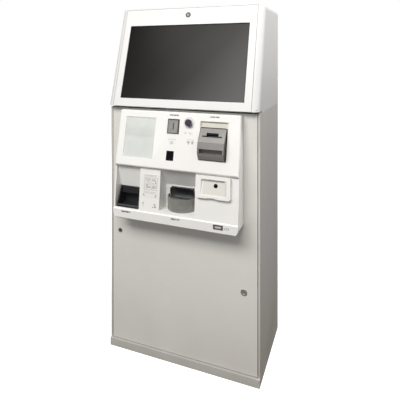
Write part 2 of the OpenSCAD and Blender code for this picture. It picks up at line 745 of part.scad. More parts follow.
// Hollow of the coin bay, grown by t
function coin_bay(t) = [[120, lower_top_z - 1], [panel_top_out - 6 - t, lower_top_z - 1],
    [cup_back - t, cup_z0 + cup_h + 40 + 0.6 * t], [cup_back - t, cup_z0 - t], [120, cup_z0 - t]];

// Lower half of the console with its two bays and the lip
module lower_console_cover() color("#f1f0eb") difference() {
    union() {
        difference() {
            lower_solid(0);
            lower_solid(console_wall);
        }
        intersection() {
            lower_solid(0);
            union() {
                out_profile(tray_x - bay_half - console_wall, tray_x + bay_half + console_wall,
                    ticket_bay(console_wall));
                out_profile(cup_x - cup_bay_half - console_wall, cup_x + cup_bay_half + console_wall,
                    coin_bay(console_wall));
            }
        }
    }
    out_profile(tray_x - bay_half, tray_x + bay_half, ticket_bay(0));
    out_profile(cup_x - cup_bay_half, cup_x + cup_bay_half, coin_bay(0));
    block(tray_x - ticket_slot_w / 2, tray_x + ticket_slot_w / 2, front - tray_back, front + 1,
        ticket_z - ticket_slot_h / 2, ticket_z + ticket_slot_h / 2);
    block(cup_x - chute_w / 2 + 2, cup_x + chute_w / 2 - 2, front - cup_back - 1, front + 1,
        chute_z - chute_h / 2, chute_z + chute_h / 2);
}

// ---- Units on the upper cover ----

module notice_card() color("#d9dcd6") on_upper(notice_x, notice_z)
    plate(notice_w + 6, notice_h + 6, -console_wall - 3, -console_wall);

module notice_window() color("#e6ece8") on_upper(notice_x, notice_z)
    plate(notice_w - 0.6, notice_h - 0.6, -console_wall, -console_wall + 1.4);

module coin_slot_plate() color("#8d8f8e") on_upper(coin_x, coin_z) difference() {
    union() {
        plate(coin_plate_w, coin_plate_h, 0, 2.5, 2);
        plate(coin_plate_w - 8, coin_plate_h - 8, -console_wall - 1, 0.5);
    }
    plate(coin_plate_w - 14, coin_plate_h - 16, 1.3, 4, 2);
    plate(12, 34, 0.4, 4);
    plate(coin_slot_w, coin_slot_l, -10, 4);
}

// Coin acceptor: its nose reaches through the door to the slot plate
module coin_acceptor() color("#3d4043") difference() {
    union() {
        block(coin_x - 32, coin_x + 32, unit_y, unit_y + 70, coin_z - 84, coin_z + 30);
        block(coin_x - acceptor_w / 2, coin_x + acceptor_w / 2,
            front - upper_out(coin_z + 27) + console_wall + 2, unit_y + 1, coin_z - 26, coin_z + 26);
    }
    block(coin_x - coin_slot_w / 2 - 0.5, coin_x + coin_slot_w / 2 + 0.5, front - 100, unit_y + 60,
        coin_z - coin_slot_l / 2 - 1, coin_z + coin_slot_l / 2 + 1);
}

module lever_ring() color("#dcdcd8") on_upper(lever_x, lever_z) difference() {
    union() {
        cylinder(h = 1.4, r = lever_ring_r);
        translate([0, 0, -12]) cylinder(h = 12.5, r = lever_hub_r);
    }
    translate([0, 0, 0.8]) difference() {
        cylinder(h = 2, r = lever_ring_r - 3);
        translate([0, 0, -1]) cylinder(h = 4, r = lever_r + 1);
    }
    translate([0, 0, -13]) cylinder(h = 16, r = lever_shaft_r + run_gap);
}

// Coin return lever: knob, finger lobe, shaft and the collar that keeps it in its ring
module return_lever() color("#241f2c") on_upper(lever_x, lever_z) {
    translate([0, 0, 1.9]) cylinder(h = 11, r = lever_r);
    translate([0, 0, 1.9]) rotate([0, 0, -35]) translate([lever_r - 3, 0, 0]) cylinder(h = 15, r = 6);
    translate([0, 0, 12]) rotate([0, 0, -35]) translate([-lever_r + 3, -2.5, 0]) cube([2 * lever_r - 6, 5, 3]);
    translate([0, 0, -16]) cylinder(h = 19, r = lever_shaft_r);
    translate([0, 0, -16]) cylinder(h = 3.6, r = lever_shaft_r + 3);
}

module sensor_window() color("#121212") on_upper(sensor_x, sensor_z)
    plate(sensor_w, sensor_h, -console_wall, 0.3, 1.5);

// Recessed tray around the banknote unit
module banknote_surround() color("#cfcbb8") on_upper(note_x, note_z) difference() {
    plate(note_pocket_w - 2 * seat_gap, note_pocket_h - 2 * seat_gap, -note_pocket_d - 2.5, -0.3);
    plate(note_pocket_w - 3.4, note_pocket_h - 3.4, -note_pocket_d, 1);
    translate([0, note_neck_v, 0]) plate(note_slot_w + 16, neck_h + 6, -20, 1);
}

// Side outline (v, w) of the banknote unit's nose
nose_top = 55;
nose_brow = -9;
nose_out = 26;
slot_v1 = -33;
slot_v0 = -50;
nose_foot = -78;
module nose_shape(x0, x1, points) translate([x0, 0, 0]) rotate([90, 0, 90])
    linear_extrude(x1 - x0) polygon(points);

// Grey nose: note entry with its thumb recess on the slope, note return slot below
module banknote_bezel() color("#a3a09a") difference() {
    bezel_nose();
    block(note_x - note_slot_w / 2, note_x + note_slot_w / 2, front - 120, front,
        throat_z - note_slot_h / 2, throat_z + note_slot_h / 2);
}

module bezel_nose() on_upper(note_x, note_z) difference() {
    intersection() {
        nose_shape(-note_w / 2, note_w / 2, [[nose_top, -note_pocket_d], [nose_top, 0.5], [nose_top - 2, 2.5],
            [nose_brow + 3, nose_out - 0.5], [nose_brow - 4, nose_out], [slot_v1, nose_out + 1],
            [slot_v0, nose_out - 1], [nose_foot + 16, nose_out - 8], [nose_foot + 4, nose_out - 18],
            [nose_foot, nose_out - 26], [nose_foot, -note_pocket_d]]);
        translate([0, (nose_top + nose_foot) / 2, 0]) plate(note_w, nose_top - nose_foot, -50, 60, 6);
    }
    nose_shape(-note_w / 2 + 4, note_w / 2 - 4, [[nose_top - 5, -note_pocket_d - 1], [nose_top - 5, -1.5],
        [nose_brow + 2, nose_out - 5], [slot_v1 + 5, nose_out - 4], [slot_v1 + 5, -note_pocket_d - 1]]);
    nose_shape(-26, 26, [[throat_v - 4, 4], [throat_v + 11, 6], [throat_v + 16, 60],
        [throat_v - note_slot_h / 2 - 60 * tan(upper_tilt), 60]]);
    nose_shape(-note_w / 2 + 7, note_w / 2 - 7, [[slot_v0, -2], [slot_v1, -2], [slot_v1, 60], [slot_v0, 60]]);
}

// Banknote validator behind the door, with its neck and the gap for the feed rollers
module banknote_validator() color("#34383b") difference() {
    union() {
        block(note_x - validator_half, note_x + validator_half, unit_y, front + 120,
            throat_z - validator_low, throat_z + 30);
        block(note_x - note_slot_w / 2 - 6, note_x + note_slot_w / 2 + 6, front - neck_out, unit_y + 1,
            throat_z - neck_h / 2, throat_z + neck_h / 2);
    }
    block(note_x - note_slot_w / 2 - 0.5, note_x + note_slot_w / 2 + 0.5, front - 100, front + 110,
        throat_z - note_slot_h / 2, throat_z + note_slot_h / 2);
    block(note_x - 48, note_x + 48, roller_y - roller_r - 3, roller_y + roller_r + 3,
        throat_z - 2 * roller_r - 3, throat_z + 2 * roller_r + 3);
    for (s = [-1, 1]) rod_x(note_x - roller_half - 0.5, note_x + roller_half + 0.5, roller_y,
        throat_z + s * roller_offset, roller_shaft_r + run_gap);
}

// Feed roller with two rubber tyres on one shaft
module feed_roller(s) {
    rod_x(note_x - roller_half, note_x + roller_half, roller_y, throat_z + s * roller_offset, roller_shaft_r);
    for (x = [-tyre_x, tyre_x]) rod_x(note_x + x - tyre_w / 2, note_x + x + tyre_w / 2, roller_y,
        throat_z + s * roller_offset, roller_r);
}
module upper_feed_roller() color("#2b2b2b") feed_roller(1);
module lower_feed_roller() color("#2b2b2b") feed_roller(-1);

module banknote_cassette() color("#4a4f54") difference() {
    union() {
        block(note_x - validator_half + 2, note_x + validator_half - 2, front + 6, front + 116,
            throat_z - validator_low - cassette_h, throat_z - validator_low);
        block(note_x - 40, note_x + 40, front + 115, front + 130, throat_z - 120, throat_z - 80);
    }
    block(note_x - 30, note_x + 30, front + 116, front + 122, throat_z - 121, throat_z - 79);
}

// ---- Units on the lower cover ----

// Black tray that the tickets drop into, open along its sloping front
module ticket_tray() color("#17181a") difference() {
    out_profile(tray_x - tray_w / 2 - 3, tray_x + tray_w / 2 + 3, [[tray_back - tray_wall, tray_z0 - tray_wall],
        [rim_out, tray_z0 - tray_wall], [rim_out - 1, tray_z0 + 4], [hood_out, tray_z1 + tray_wall],
        [tray_back - tray_wall, tray_z1 + tray_wall]]);
    out_profile(tray_x - tray_w / 2, tray_x + tray_w / 2, [[tray_back, tray_z0], [rim_out - 4, tray_z0],
        [rim_out - 4, tray_z0 + 60], [hood_out + 20, tray_z1], [tray_back, tray_z1]]);
    block(tray_x - ticket_slot_w / 2, tray_x + ticket_slot_w / 2, front - tray_back - 1, front + 1,
        ticket_z - ticket_slot_h / 2, ticket_z + ticket_slot_h / 2);
    rod_x(tray_x - tray_w / 2 - 2, tray_x + tray_w / 2 + 2, flap_y, flap_z, flap_pin_r + run_gap);
}

// Flap that hangs in the mouth of the tray from its own pins
module ticket_flap() color("#26282b") {
    rod_x(tray_x - tray_w / 2 - 1.7, tray_x + tray_w / 2 + 1.7, flap_y, flap_z, flap_pin_r);
    half = tray_w / 2 - 0.6;
    block(tray_x - half, tray_x + half, flap_y - flap_t / 2, flap_y + flap_t / 2, flap_z - flap_h, flap_z);
    block(tray_x - half, tray_x + half, flap_y - flap_t, flap_y + flap_t / 2, flap_z - flap_h,
        flap_z - flap_h + 2.5);
}

module guide_plate() color("#c9c2b4") on_lower(guide_x, guide_z) plate(guide_w, guide_h, 0, 0.8, 2);

// Half-round cup that coins drop into
module coin_cup() color("#84847d") translate([cup_x, front - cup_back, cup_z0]) difference() {
    intersection() {
        cylinder(h = cup_h, r = cup_r);
        translate([-cup_r - 1, -cup_r - 1, -1]) cube([2 * cup_r + 2, cup_r + 1, cup_h + 2]);
    }
    intersection() {
        translate([0, 0, 3]) cylinder(h = cup_h, r = cup_r - cup_wall);
        translate([-cup_r, -cup_r, 0]) cube([2 * cup_r, cup_r - cup_wall, cup_h + 2]);
    }
    translate([-chute_w / 2 + 2, -cup_wall - 1, cup_h - cup_drop])
        cube([chute_w - 4, cup_wall + 2, cup_drop + 1]);
}

// Closed chute from the hopper down to the cup
module coin_chute() color("#96999b") difference() {
    out_profile(cup_x - chute_w / 2, cup_x + chute_w / 2, chute_outline(0));
    out_profile(cup_x - chute_w / 2 + 2, cup_x + chute_w / 2 - 2, chute_outline(2));
}
// Side outline of the chute, set in by t
function chute_outline(t) = [[chute_end + t, chute_z - chute_h / 2 - 2 + t],
    [chute_end + t, chute_z + chute_h / 2 + 2 - t],
    [-sheet - 1, chute_z + chute_h / 2 + 3 - t], [-chute_reach - t, disc_z + 22 - t],
    [-chute_reach - t, disc_z - 10 + t], [-sheet - 1, chute_z - chute_h / 2 - 1.4 + t]];

// White pod of the code reader with its wedge-shaped recess
module reader_pod() color("#fbfbf8") on_lower(pod_x, pod_z) difference() {
    plate(pod_w, pod_h, 0, pod_t, 8);
    nose_shape(-52, 49, [[30, pod_t + 1], [30, 3], [-34, pod_t + 0.1], [-34, pod_t + 1]]);
    translate([lens_x, lens_v, 2]) cylinder(h = pod_t, r = lens_r + seat_gap);
    translate([-7, -pod_h / 2, pod_t]) cube([34, 5, 8], center = true);
    translate([pod_w / 2 - 3, -6, pod_t / 2]) rotate([0, 90, 0]) cylinder(h = 4, r = 2.4);
}

module reader_lens() color("#0c0c0e") on_lower(pod_x, pod_z) translate([lens_x, lens_v, 2])
    cylinder(h = 5.6, r = lens_r);

// Thin plates that name the units, and the contact-card mark on the lip
module label_plates() color("#4c4a46") {
    on_upper(coin_x, console_top - 12) plate(42, 4.5, 0, label_t);
    on_upper(note_x, console_top - 11) plate(44, 4.5, 0, label_t);
    lip_plate(tray_x - 2, lip_z - 12, 44, 6);
    lip_plate(cup_x - 1, lip_z - 12, 43, 6);
    lip_plate(201, lip_z - 17, 41, 19);
}
module lip_plate(x, z, w, h) block(x - w / 2, x + w / 2, front - lip_out - label_t, front - lip_out,
    z - h / 2, z + h / 2);

// Ticket printer: print unit below, open paper holder with its spindle above
module ticket_printer() color("#46494d") difference() {
    union() {
        block(tray_x - printer_half, tray_x + printer_half, unit_y, printer_y1 - 6, printer_z0, holder_z0);
        block(tray_x - ticket_slot_w / 2, tray_x + ticket_slot_w / 2,
            front - tray_back + tray_wall + console_wall + 0.6, unit_y + 1, ticket_z - 9, ticket_z + 9);
        for (s = [-1, 1]) block(tray_x + s * cheek_x - cheek_t / 2, tray_x + s * cheek_x + cheek_t / 2,
            front + 26, printer_y1 - 8, holder_z0 - 1, holder_z1);
        rod_x(tray_x - cheek_x + 1, tray_x + cheek_x - 1, roll_y, roll_z, spindle_r);
    }
    block(tray_x - ticket_slot_w / 2 + 2, tray_x + ticket_slot_w / 2 - 2, front - 30, front + 40,
        ticket_z - 3, ticket_z + 3);
    block(tray_x - 44, tray_x + 44, front + 8, front + 36, ticket_z - 18, ticket_z + 12);
    rod_x(tray_x - cheek_x, tray_x + cheek_x, platen_y, platen_z, platen_shaft_r + run_gap);
}

module paper_roll() color("#f5f5f2") difference() {
    rod_x(tray_x - paper_w / 2, tray_x + paper_w / 2, roll_y, roll_z, roll_r);
    rod_x(tray_x - paper_w / 2 - 2, tray_x + paper_w / 2 + 2, roll_y, roll_z, spindle_r + run_gap);
}

module platen_roller() color("#1d1d1d") {
    rod_x(tray_x - paper_w / 2, tray_x + paper_w / 2, platen_y, platen_z, platen_r);
    rod_x(tray_x - cheek_x + 0.5, tray_x + cheek_x - 0.5, platen_y, platen_z, platen_shaft_r);
}

plinth();
floor_plate();
left_side_panel();
right_side_panel();
rear_panel();
top_plate();
hinge_pivots();
lock_keepers();
shelf();
power_supply();
power_switch();
cable_gland();
coin_hopper();
hopper_disc();
cash_box();
cash_box_lid();
control_computer();
fan_frame();
fan_rotor();
gap_seal();
rear_screws();
head_housing();
head_rear_cover();
display_hinge_pins();
display_frame();
display_glass();
display_panel();
display_lock_body();
display_lock_plug();
front_door();
upper_console_cover();
lower_console_cover();
notice_card();
notice_window();
coin_slot_plate();
coin_acceptor();
lever_ring();
return_lever();
sensor_window();
banknote_surround();
banknote_bezel();
banknote_validator();
upper_feed_roller();
lower_feed_roller();
banknote_cassette();
ticket_tray();
ticket_flap();
guide_plate();
coin_cup();
coin_chute();
reader_pod();
reader_lens();
label_plates();
door_lock_body();
door_lock_plug();
key_switch_body();
key_switch_plug();
ticket_printer();
paper_roll();
platen_roller();
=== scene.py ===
# Looks of a floor-standing ticket vending machine: a folded-steel cabinet with a leaning display
# head above and, on its hinged door, a moulded console with the coin, banknote, code reader and
# ticket units. Lengths are in metres; +Z is up and the machine faces -Y.
import bpy, bmesh
from math import sin, cos, tan, atan, pi, radians
from mathutils import Vector, Matrix


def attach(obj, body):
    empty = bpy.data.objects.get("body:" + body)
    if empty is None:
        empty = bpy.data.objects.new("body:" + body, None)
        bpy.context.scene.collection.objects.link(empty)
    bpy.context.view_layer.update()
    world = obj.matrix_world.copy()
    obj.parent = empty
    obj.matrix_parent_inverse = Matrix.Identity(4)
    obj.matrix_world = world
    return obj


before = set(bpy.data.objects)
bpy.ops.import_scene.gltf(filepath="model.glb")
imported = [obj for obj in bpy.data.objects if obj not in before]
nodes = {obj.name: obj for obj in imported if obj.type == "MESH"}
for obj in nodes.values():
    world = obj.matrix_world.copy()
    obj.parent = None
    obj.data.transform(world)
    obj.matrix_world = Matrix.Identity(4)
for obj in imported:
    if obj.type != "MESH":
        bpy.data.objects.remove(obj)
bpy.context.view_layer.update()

# ---------------------------------------------------------------- Studio
# A wide matt floor under an even white sky, one broad softbox high in front of the machine, a
# faint one low in front, a small one over its right side and one behind it.
scene = bpy.context.scene
scene.view_settings.view_transform = "Standard"
scene.view_settings.look = "None"

sky = bpy.data.worlds.new("studio_sky")
scene.world = sky
sky.use_nodes = True
sky_tree = sky.node_tree
sky_fill = sky_tree.nodes["Background"]
sky_fill.inputs["Color"].default_value = (1, 1, 1, 1)
sky_fill.inputs["Strength"].default_value = 0.38
sky_seen = sky_tree.nodes.new("ShaderNodeBackground")
sky_seen.inputs["Strength"].default_value = 1.0
sky_seen.inputs["Color"].default_value = (1, 1, 1, 1)


def mix_by_camera_ray(tree, for_light, for_view):
    """One shader for the light that it throws and another for what is seen of it directly."""
    mix = tree.nodes.new("ShaderNodeMixShader")
    tree.links.new(tree.nodes.new("ShaderNodeLightPath").outputs["Is Camera Ray"], mix.inputs[0])
    tree.links.new(for_light.outputs[0], mix.inputs[1])
    tree.links.new(for_view.outputs[0], mix.inputs[2])
    return mix.outputs[0]


sky_mix = mix_by_camera_ray(sky_tree, sky_fill, sky_seen)
sky_tree.links.new(sky_mix, sky_tree.nodes["World Output"].inputs["Surface"])


def softbox(name, place, target, width, height, power, colour=(1, 1, 1)):
    """A rectangular area light that looks at a point."""
    data = bpy.data.lights.new(name, "AREA")
    data.shape, data.size, data.size_y = "RECTANGLE", width, height
    data.energy, data.color = power, colour
    lamp = bpy.data.objects.new(name, data)
    scene.collection.objects.link(lamp)
    lamp.location = place
    lamp.rotation_mode = "QUATERNION"
    lamp.rotation_quaternion = (Vector(target) - Vector(place)).to_track_quat("-Z", "Y")


warm_white = (1, 0.985, 0.96)
softbox("key_softbox", (-0.35, -3.0, 3.6), (0, -0.2, 0.7), 3.2, 1.3, 152, warm_white)
softbox("front_softbox", (0.9, -3.4, 1.2), (0, -0.2, 0.9), 1.6, 1.6, 12, warm_white)
softbox("side_softbox", (1.6, 0.2, 3.0), (0.35, 0, 1.5), 0.8, 0.8, 50, (1, 0.985, 0.97))
softbox("back_softbox", (-1.6, 3.2, 3.0), (0, 0.2, 0.8), 1.6, 1.6, 70)

floor_radius = 26
floor_drop = 0.0006
floor_mesh = bmesh.new()
bmesh.ops.create_circle(floor_mesh, cap_ends=True, segments=96, radius=floor_radius)
floor_data = bpy.data.meshes.new("studio_floor")
floor_mesh.to_mesh(floor_data)
floor_mesh.free()
studio_floor = bpy.data.objects.new("studio_floor", floor_data)
scene.collection.objects.link(studio_floor)
studio_floor.location = (0, 0, -floor_drop)
floor_paint = bpy.data.materials.new("floor_paint")
floor_paint.use_nodes = True
floor_tree = floor_paint.node_tree
floor_shader = floor_tree.nodes["Principled BSDF"]
floor_shader.inputs["Base Color"].default_value = (0.93, 0.93, 0.93, 1)
floor_shader.inputs["Roughness"].default_value = 0.9
floor_shader.inputs["Emission Color"].default_value = (1, 1, 1, 1)
floor_shader.inputs["Emission Strength"].default_value = 0.66
floor_dull = floor_tree.nodes.new("ShaderNodeBsdfDiffuse")
floor_dull.inputs["Color"].default_value = (0.06, 0.058, 0.055, 1)
floor_mix = mix_by_camera_ray(floor_tree, floor_dull, floor_shader)
floor_tree.links.new(floor_mix, floor_tree.nodes["Material Output"].inputs["Surface"])
studio_floor.data.materials.append(floor_paint)

camera_place = (0.7125, -1.7992, 1.3249)
camera_turn = radians(21.22)
camera_data = bpy.data.cameras.new("camera")
camera_data.lens = 36.46
camera_data.sensor_width = 36
camera_data.shift_x = 0.0008
camera_data.shift_y = -0.3556
camera = bpy.data.objects.new("camera", camera_data)
scene.collection.objects.link(camera)
camera.location = camera_place
camera.rotation_mode = "QUATERNION"
camera_aim = Vector((-sin(camera_turn), cos(camera_turn), 0))
camera.rotation_quaternion = camera_aim.to_track_quat("-Z", "Y")
scene.camera = camera

# ---------------------------------------------------------------- Cabinet shell
# Side panels, rear panel and the head's rear cover: 2 mm sheet steel, folded, spot-welded and
# powder-coated a warm light grey with a fine orange-peel skin; dust clings near the floor.

# Four effects make up its coat, and the other finishes use them too: fine grain, slow cloudy
# tone, dust that settles low down, and hairline scuffs.


def effect_group(name, input_name, usual_value, output_name):
    """An empty node group with one float input, with its usual value, and one float output."""
    group = bpy.data.node_groups.new(name, "ShaderNodeTree")
    socket = group.interface.new_socket(input_name, in_out="INPUT", socket_type="NodeSocketFloat")
    socket.default_value = usual_value
    group.interface.new_socket(output_name, in_out="OUTPUT", socket_type="NodeSocketFloat")
    source = group.nodes.new("NodeGroupInput")
    target = group.nodes.new("NodeGroupOutput")
    return group, source, target


def maths(group, operation, first, second=None, clamp=False):
    """A math node whose inputs are sockets or plain numbers; returns its output."""
    step = group.nodes.new("ShaderNodeMath")
    step.operation, step.use_clamp = operation, clamp
    for index, value in enumerate((first, second)):
        if value is None:
            continue
        if isinstance(value, (int, float)):
            step.inputs[index].default_value = value
        else:
            group.links.new(value, step.inputs[index])
    return step.outputs[0]


def spread(group, value, low, high):
    """Stretches low..high of a value to 0..1."""
    step = group.nodes.new("ShaderNodeMapRange")
    step.inputs["From Min"].default_value = low
    step.inputs["From Max"].default_value = high
    group.links.new(value, step.inputs["Value"])
    return step.outputs["Result"]


def noise(group, vector, scale, detail=2.0, rough=0.5):
    """A noise texture; scale is a number or a socket."""
    step = group.nodes.new("ShaderNodeTexNoise")
    step.inputs["Detail"].default_value = detail
    step.inputs["Roughness"].default_value = rough
    if isinstance(scale, (int, float)):
        step.inputs["Scale"].default_value = scale
    else:
        group.links.new(scale, step.inputs["Scale"])
    group.links.new(vector, step.inputs["Vector"])
    return step.outputs["Fac"]


def stretched(group, vector, factors):
    """The vector with each axis multiplied."""
    step = group.nodes.new("ShaderNodeVectorMath")
    step.operation = "MULTIPLY"
    step.inputs[1].default_value = factors
    group.links.new(vector, step.inputs[0])
    return step.outputs[0]


def place_vector(group):
    """Coordinates of the surface in the machine's own frame."""
    return group.nodes.new("ShaderNodeTexCoord").outputs["Object"]


grain, grain_in, grain_out = effect_group("grain", "Scale", 900.0, "Height")
grain_place = place_vector(grain)
grain_fine = noise(grain, grain_place, grain_in.outputs["Scale"], 3.0, 0.6)
grain_coarse = noise(grain, grain_place, maths(grain, "MULTIPLY", grain_in.outputs["Scale"], 0.22), 1.0)
grain_height = maths(grain, "ADD", maths(grain, "MULTIPLY", grain_fine, 0.6),
                     maths(grain, "MULTIPLY", grain_coarse, 0.4))
grain.links.new(grain_height, grain_out.inputs["Height"])

cloud, cloud_in, cloud_out = effect_group("cloud", "Scale", 4.0, "Mask")
cloud_wide = noise(cloud, place_vector(cloud), cloud_in.outputs["Scale"], 5.0, 0.62)
cloud.links.new(spread(cloud, cloud_wide, 0.32, 0.70), cloud_out.inputs["Mask"])

dust, dust_in, dust_out = effect_group("dust", "Height", 0.25, "Mask")
dust_place = place_vector(dust)
dust_split = dust.nodes.new("ShaderNodeSeparateXYZ")
dust.links.new(dust_place, dust_split.inputs[0])
dust_fall = maths(dust, "DIVIDE", dust_split.outputs["Z"], dust_in.outputs["Height"])
dust_low = maths(dust, "SUBTRACT", 1.0, dust_fall, clamp=True)
dust_drift = noise(dust, stretched(dust, dust_place, (1, 1, 0.8)), 5.0, 4.0, 0.5)
dust_mask = maths(dust, "MULTIPLY", maths(dust, "POWER", dust_low, 1.7),
                  spread(dust, dust_drift, 0.05, 0.75), clamp=True)
dust.links.new(dust_mask, dust_out.inputs["Mask"])

scuff_size = 5.0
scuff_width = 0.0035
scuff, scuff_in, scuff_out = effect_group("scuff", "Scale", scuff_size, "Mask")
scuff_place = place_vector(scuff)
scuff_lines = []
for turn in ((1.0, 1.0, 9.0), (7.0, 1.0, 1.4)):
    thread = noise(scuff, stretched(scuff, scuff_place, turn), scuff_in.outputs["Scale"], 9.0, 0.55)
    edge = maths(scuff, "ABSOLUTE", maths(scuff, "SUBTRACT", thread, 0.5))
    scuff_lines.append(maths(scuff, "SUBTRACT", 1.0, spread(scuff, edge, 0.0, scuff_width), clamp=True))
scuff_where = spread(scuff, noise(scuff, scuff_place, 6.3, 3.0), 0.56, 0.66)
scuff_mask = maths(scuff, "MULTIPLY", maths(scuff, "MAXIMUM", *scuff_lines), scuff_where, clamp=True)
scuff.links.new(scuff_mask, scuff_out.inputs["Mask"])


def effect(tree, group, scale_or_height):
    """Places an effect group in a material with its one value set; returns its output."""
    step = tree.nodes.new("ShaderNodeGroup")
    step.node_tree = group
    step.inputs[0].default_value = scale_or_height
    return step.outputs[0]


def finish_of(name, light, dark, rough, metal=0.0, grain_size=900.0, grain_depth=0.00006, cloud_size=4.0,
              dirt=None, dirt_height=0.25, scuffs=0.0, lines=0.0, line_size=60.0, coat=0.0,
              second=None, second_where=None, mirror=0.5):
    """A finish from its two tones, its roughness range and how much grain, dust and wear it shows.
    second_where(tree) gives the mask of the areas that take the second colour; mirror is the
    specular level."""
    paint = bpy.data.materials.new(name)
    paint.use_nodes = True
    tree = paint.node_tree
    shader = tree.nodes["Principled BSDF"]
    worn_shade, worn_rough, dirt_rough, line_rough = 0.55, 0.25, 0.3, 0.12

    def blend_colour(mask, first, second):
        step = tree.nodes.new("ShaderNodeMix")
        step.data_type = "RGBA"
        tree.links.new(mask, step.inputs["Factor"])
        for socket, value in ((step.inputs["A"], first), (step.inputs["B"], second)):
            if isinstance(value, tuple):
                socket.default_value = (*value, 1)
            else:
                tree.links.new(value, socket)
        return step.outputs["Result"]

    tone = effect(tree, cloud, cloud_size)
    colour = blend_colour(tone, light, dark)
    if second:
        colour = blend_colour(second_where(tree), colour, second)
    fine = effect(tree, grain, grain_size)
    height = fine
    roughness = maths(tree, "ADD", maths(tree, "MULTIPLY", tone, rough[1] - rough[0]), rough[0])
    if scuffs:
        worn = maths(tree, "MULTIPLY", effect(tree, scuff, scuff_size), scuffs)
        colour = blend_colour(worn, colour, tuple(worn_shade * c for c in dark))
        roughness = maths(tree, "ADD", roughness, maths(tree, "MULTIPLY", worn, worn_rough), clamp=True)
    if dirt:
        settled = effect(tree, dust, dirt_height)
        colour = blend_colour(settled, colour, dirt)
        roughness = maths(tree, "ADD", roughness, maths(tree, "MULTIPLY", settled, dirt_rough), clamp=True)
    if lines:
        drawn = effect(tree, brushed, line_size)
        height = maths(tree, "ADD", fine, maths(tree, "MULTIPLY", drawn, lines))
        roughness = maths(tree, "ADD", roughness, maths(tree, "MULTIPLY", drawn, line_rough), clamp=True)
    tree.links.new(colour, shader.inputs["Base Color"])
    tree.links.new(roughness, shader.inputs["Roughness"])
    shader.inputs["Metallic"].default_value = metal
    shader.inputs["Coat Weight"].default_value = coat
    shader.inputs["Specular IOR Level"].default_value = mirror
    bump = tree.nodes.new("ShaderNodeBump")
    bump.inputs["Distance"].default_value = grain_depth
    bump.inputs["Strength"].default_value = 1.0
    tree.links.new(height, bump.inputs["Height"])
    tree.links.new(bump.outputs["Normal"], shader.inputs["Normal"])
    return paint


def dress(material, *names):
    """Gives a finish to CAD nodes or to pieces made here."""
    for name in names:
        piece = nodes[name] if isinstance(name, str) else name
        piece.data.materials.clear()
        piece.data.materials.append(material)


cabinet_paint = finish_of("cabinet_paint", (0.62, 0.605, 0.58), (0.575, 0.56, 0.535), (0.30, 0.40),
                          grain_size=650, grain_depth=0.00009, dirt=(0.42, 0.38, 0.32), dirt_height=0.6,
                          scuffs=0.35)
dress(cabinet_paint, "left_side_panel", "right_side_panel", "rear_panel", "head_rear_cover")

# ---------------------------------------------------------------- Plinth
# The base tray the cabinet is bolted on: thicker folded steel in a slightly darker grey, scuffed
# by shoes and mops and dusty along the floor.
plinth_paint = finish_of("plinth_paint", (0.57, 0.555, 0.53), (0.51, 0.495, 0.47), (0.38, 0.55),
                         grain_size=500, grain_depth=0.00012, cloud_size=9, dirt=(0.44, 0.41, 0.37),
                         dirt_height=0.06, scuffs=0.9)
dress(plinth_paint, "plinth")

# ---------------------------------------------------------------- Inner steelwork
# Floor plate, top plate, shelf and the coin chute: zinc-plated sheet that keeps its cloudy,
# faintly spangled grey; never painted because it is out of sight.
inner_steel = finish_of("inner_steel", (0.60, 0.61, 0.62), (0.42, 0.43, 0.44), (0.32, 0.55), metal=0.9,
                        grain_size=160, grain_depth=0.00004, cloud_size=38, scuffs=0.5)
dress(inner_steel, "floor_plate", "top_plate", "shelf", "coin_chute")

# ---------------------------------------------------------------- Hinges, keepers and screws
# Turned pivot pins, pressed keepers and pan-head screws: bright drawn steel with fine turning
# lines and fingerprints that dull it in patches.
brushed, brushed_in, brushed_out = effect_group("brushed", "Scale", 60.0, "Height")
brushed_place = stretched(brushed, place_vector(brushed), (1, 14, 14))
brushed_lines = noise(brushed, brushed_place, brushed_in.outputs["Scale"], 4.0, 0.7)
brushed.links.new(brushed_lines, brushed_out.inputs["Height"])

bright_steel = finish_of("bright_steel", (0.66, 0.66, 0.66), (0.50, 0.50, 0.51), (0.20, 0.38), metal=1.0,
                         grain_size=1200, grain_depth=0.00003, cloud_size=30, lines=0.8, line_size=90)
dress(bright_steel, "hinge_pivots", "lock_keepers", "rear_screws", "display_hinge_pins")

# ---------------------------------------------------------------- Display head
# Wedge-shaped housing of pressed sheet, painted near white with a smoother, glossier coat than
# the cabinet; its upright front edges are rolled to a wide radius.
head_paint = finish_of("head_paint", (0.68, 0.68, 0.675), (0.65, 0.645, 0.635), (0.30, 0.42),
                       grain_size=520, grain_depth=0.00007, cloud_size=3, scuffs=0.15, mirror=0.3)
dress(head_paint, "head_housing")

# ---------------------------------------------------------------- Display frame
# Moulded white frame that opens on its lower hinge for service; a soft-gloss plastic with a
# barely visible texture.
frame_white = finish_of("frame_white", (0.72, 0.72, 0.715), (0.69, 0.69, 0.68), (0.30, 0.42),
                        grain_size=800, grain_depth=0.00005, cloud_size=5, mirror=0.3)
dress(frame_white, "display_frame")

# ---------------------------------------------------------------- Display panel and its glass
# Dark bonded cover glass with an anti-glare film over the switched-off LCD; a reflection is painted into the
# glass's colour, falling from charcoal at the top left to mid grey at the bottom right. The panel behind is
# a zinc-grey metal case.
screen_glass = bpy.data.materials.new("screen_glass")
screen_glass.use_nodes = True
screen_tree = screen_glass.node_tree
screen_shader = screen_tree.nodes["Principled BSDF"]
screen_place = screen_tree.nodes.new("ShaderNodeSeparateXYZ")
screen_tree.links.new(screen_tree.nodes.new("ShaderNodeTexCoord").outputs["Object"], screen_place.inputs[0])
screen_across = spread(screen_tree, screen_place.outputs["X"], -0.30, 0.30)
screen_down = spread(screen_tree, screen_place.outputs["Z"], 1.50, 1.10)
# Painted reflection: the glass's colour brightens to the right and downwards, from charcoal at the top left
# to mid grey at the bottom right.
screen_painted_reflection = maths(screen_tree, "ADD", maths(screen_tree, "MULTIPLY", screen_across, 0.6),
                     maths(screen_tree, "MULTIPLY", screen_down, 0.4))
screen_grain = effect(screen_tree, grain, 1500)
screen_reflection_tone = screen_tree.nodes.new("ShaderNodeValToRGB")
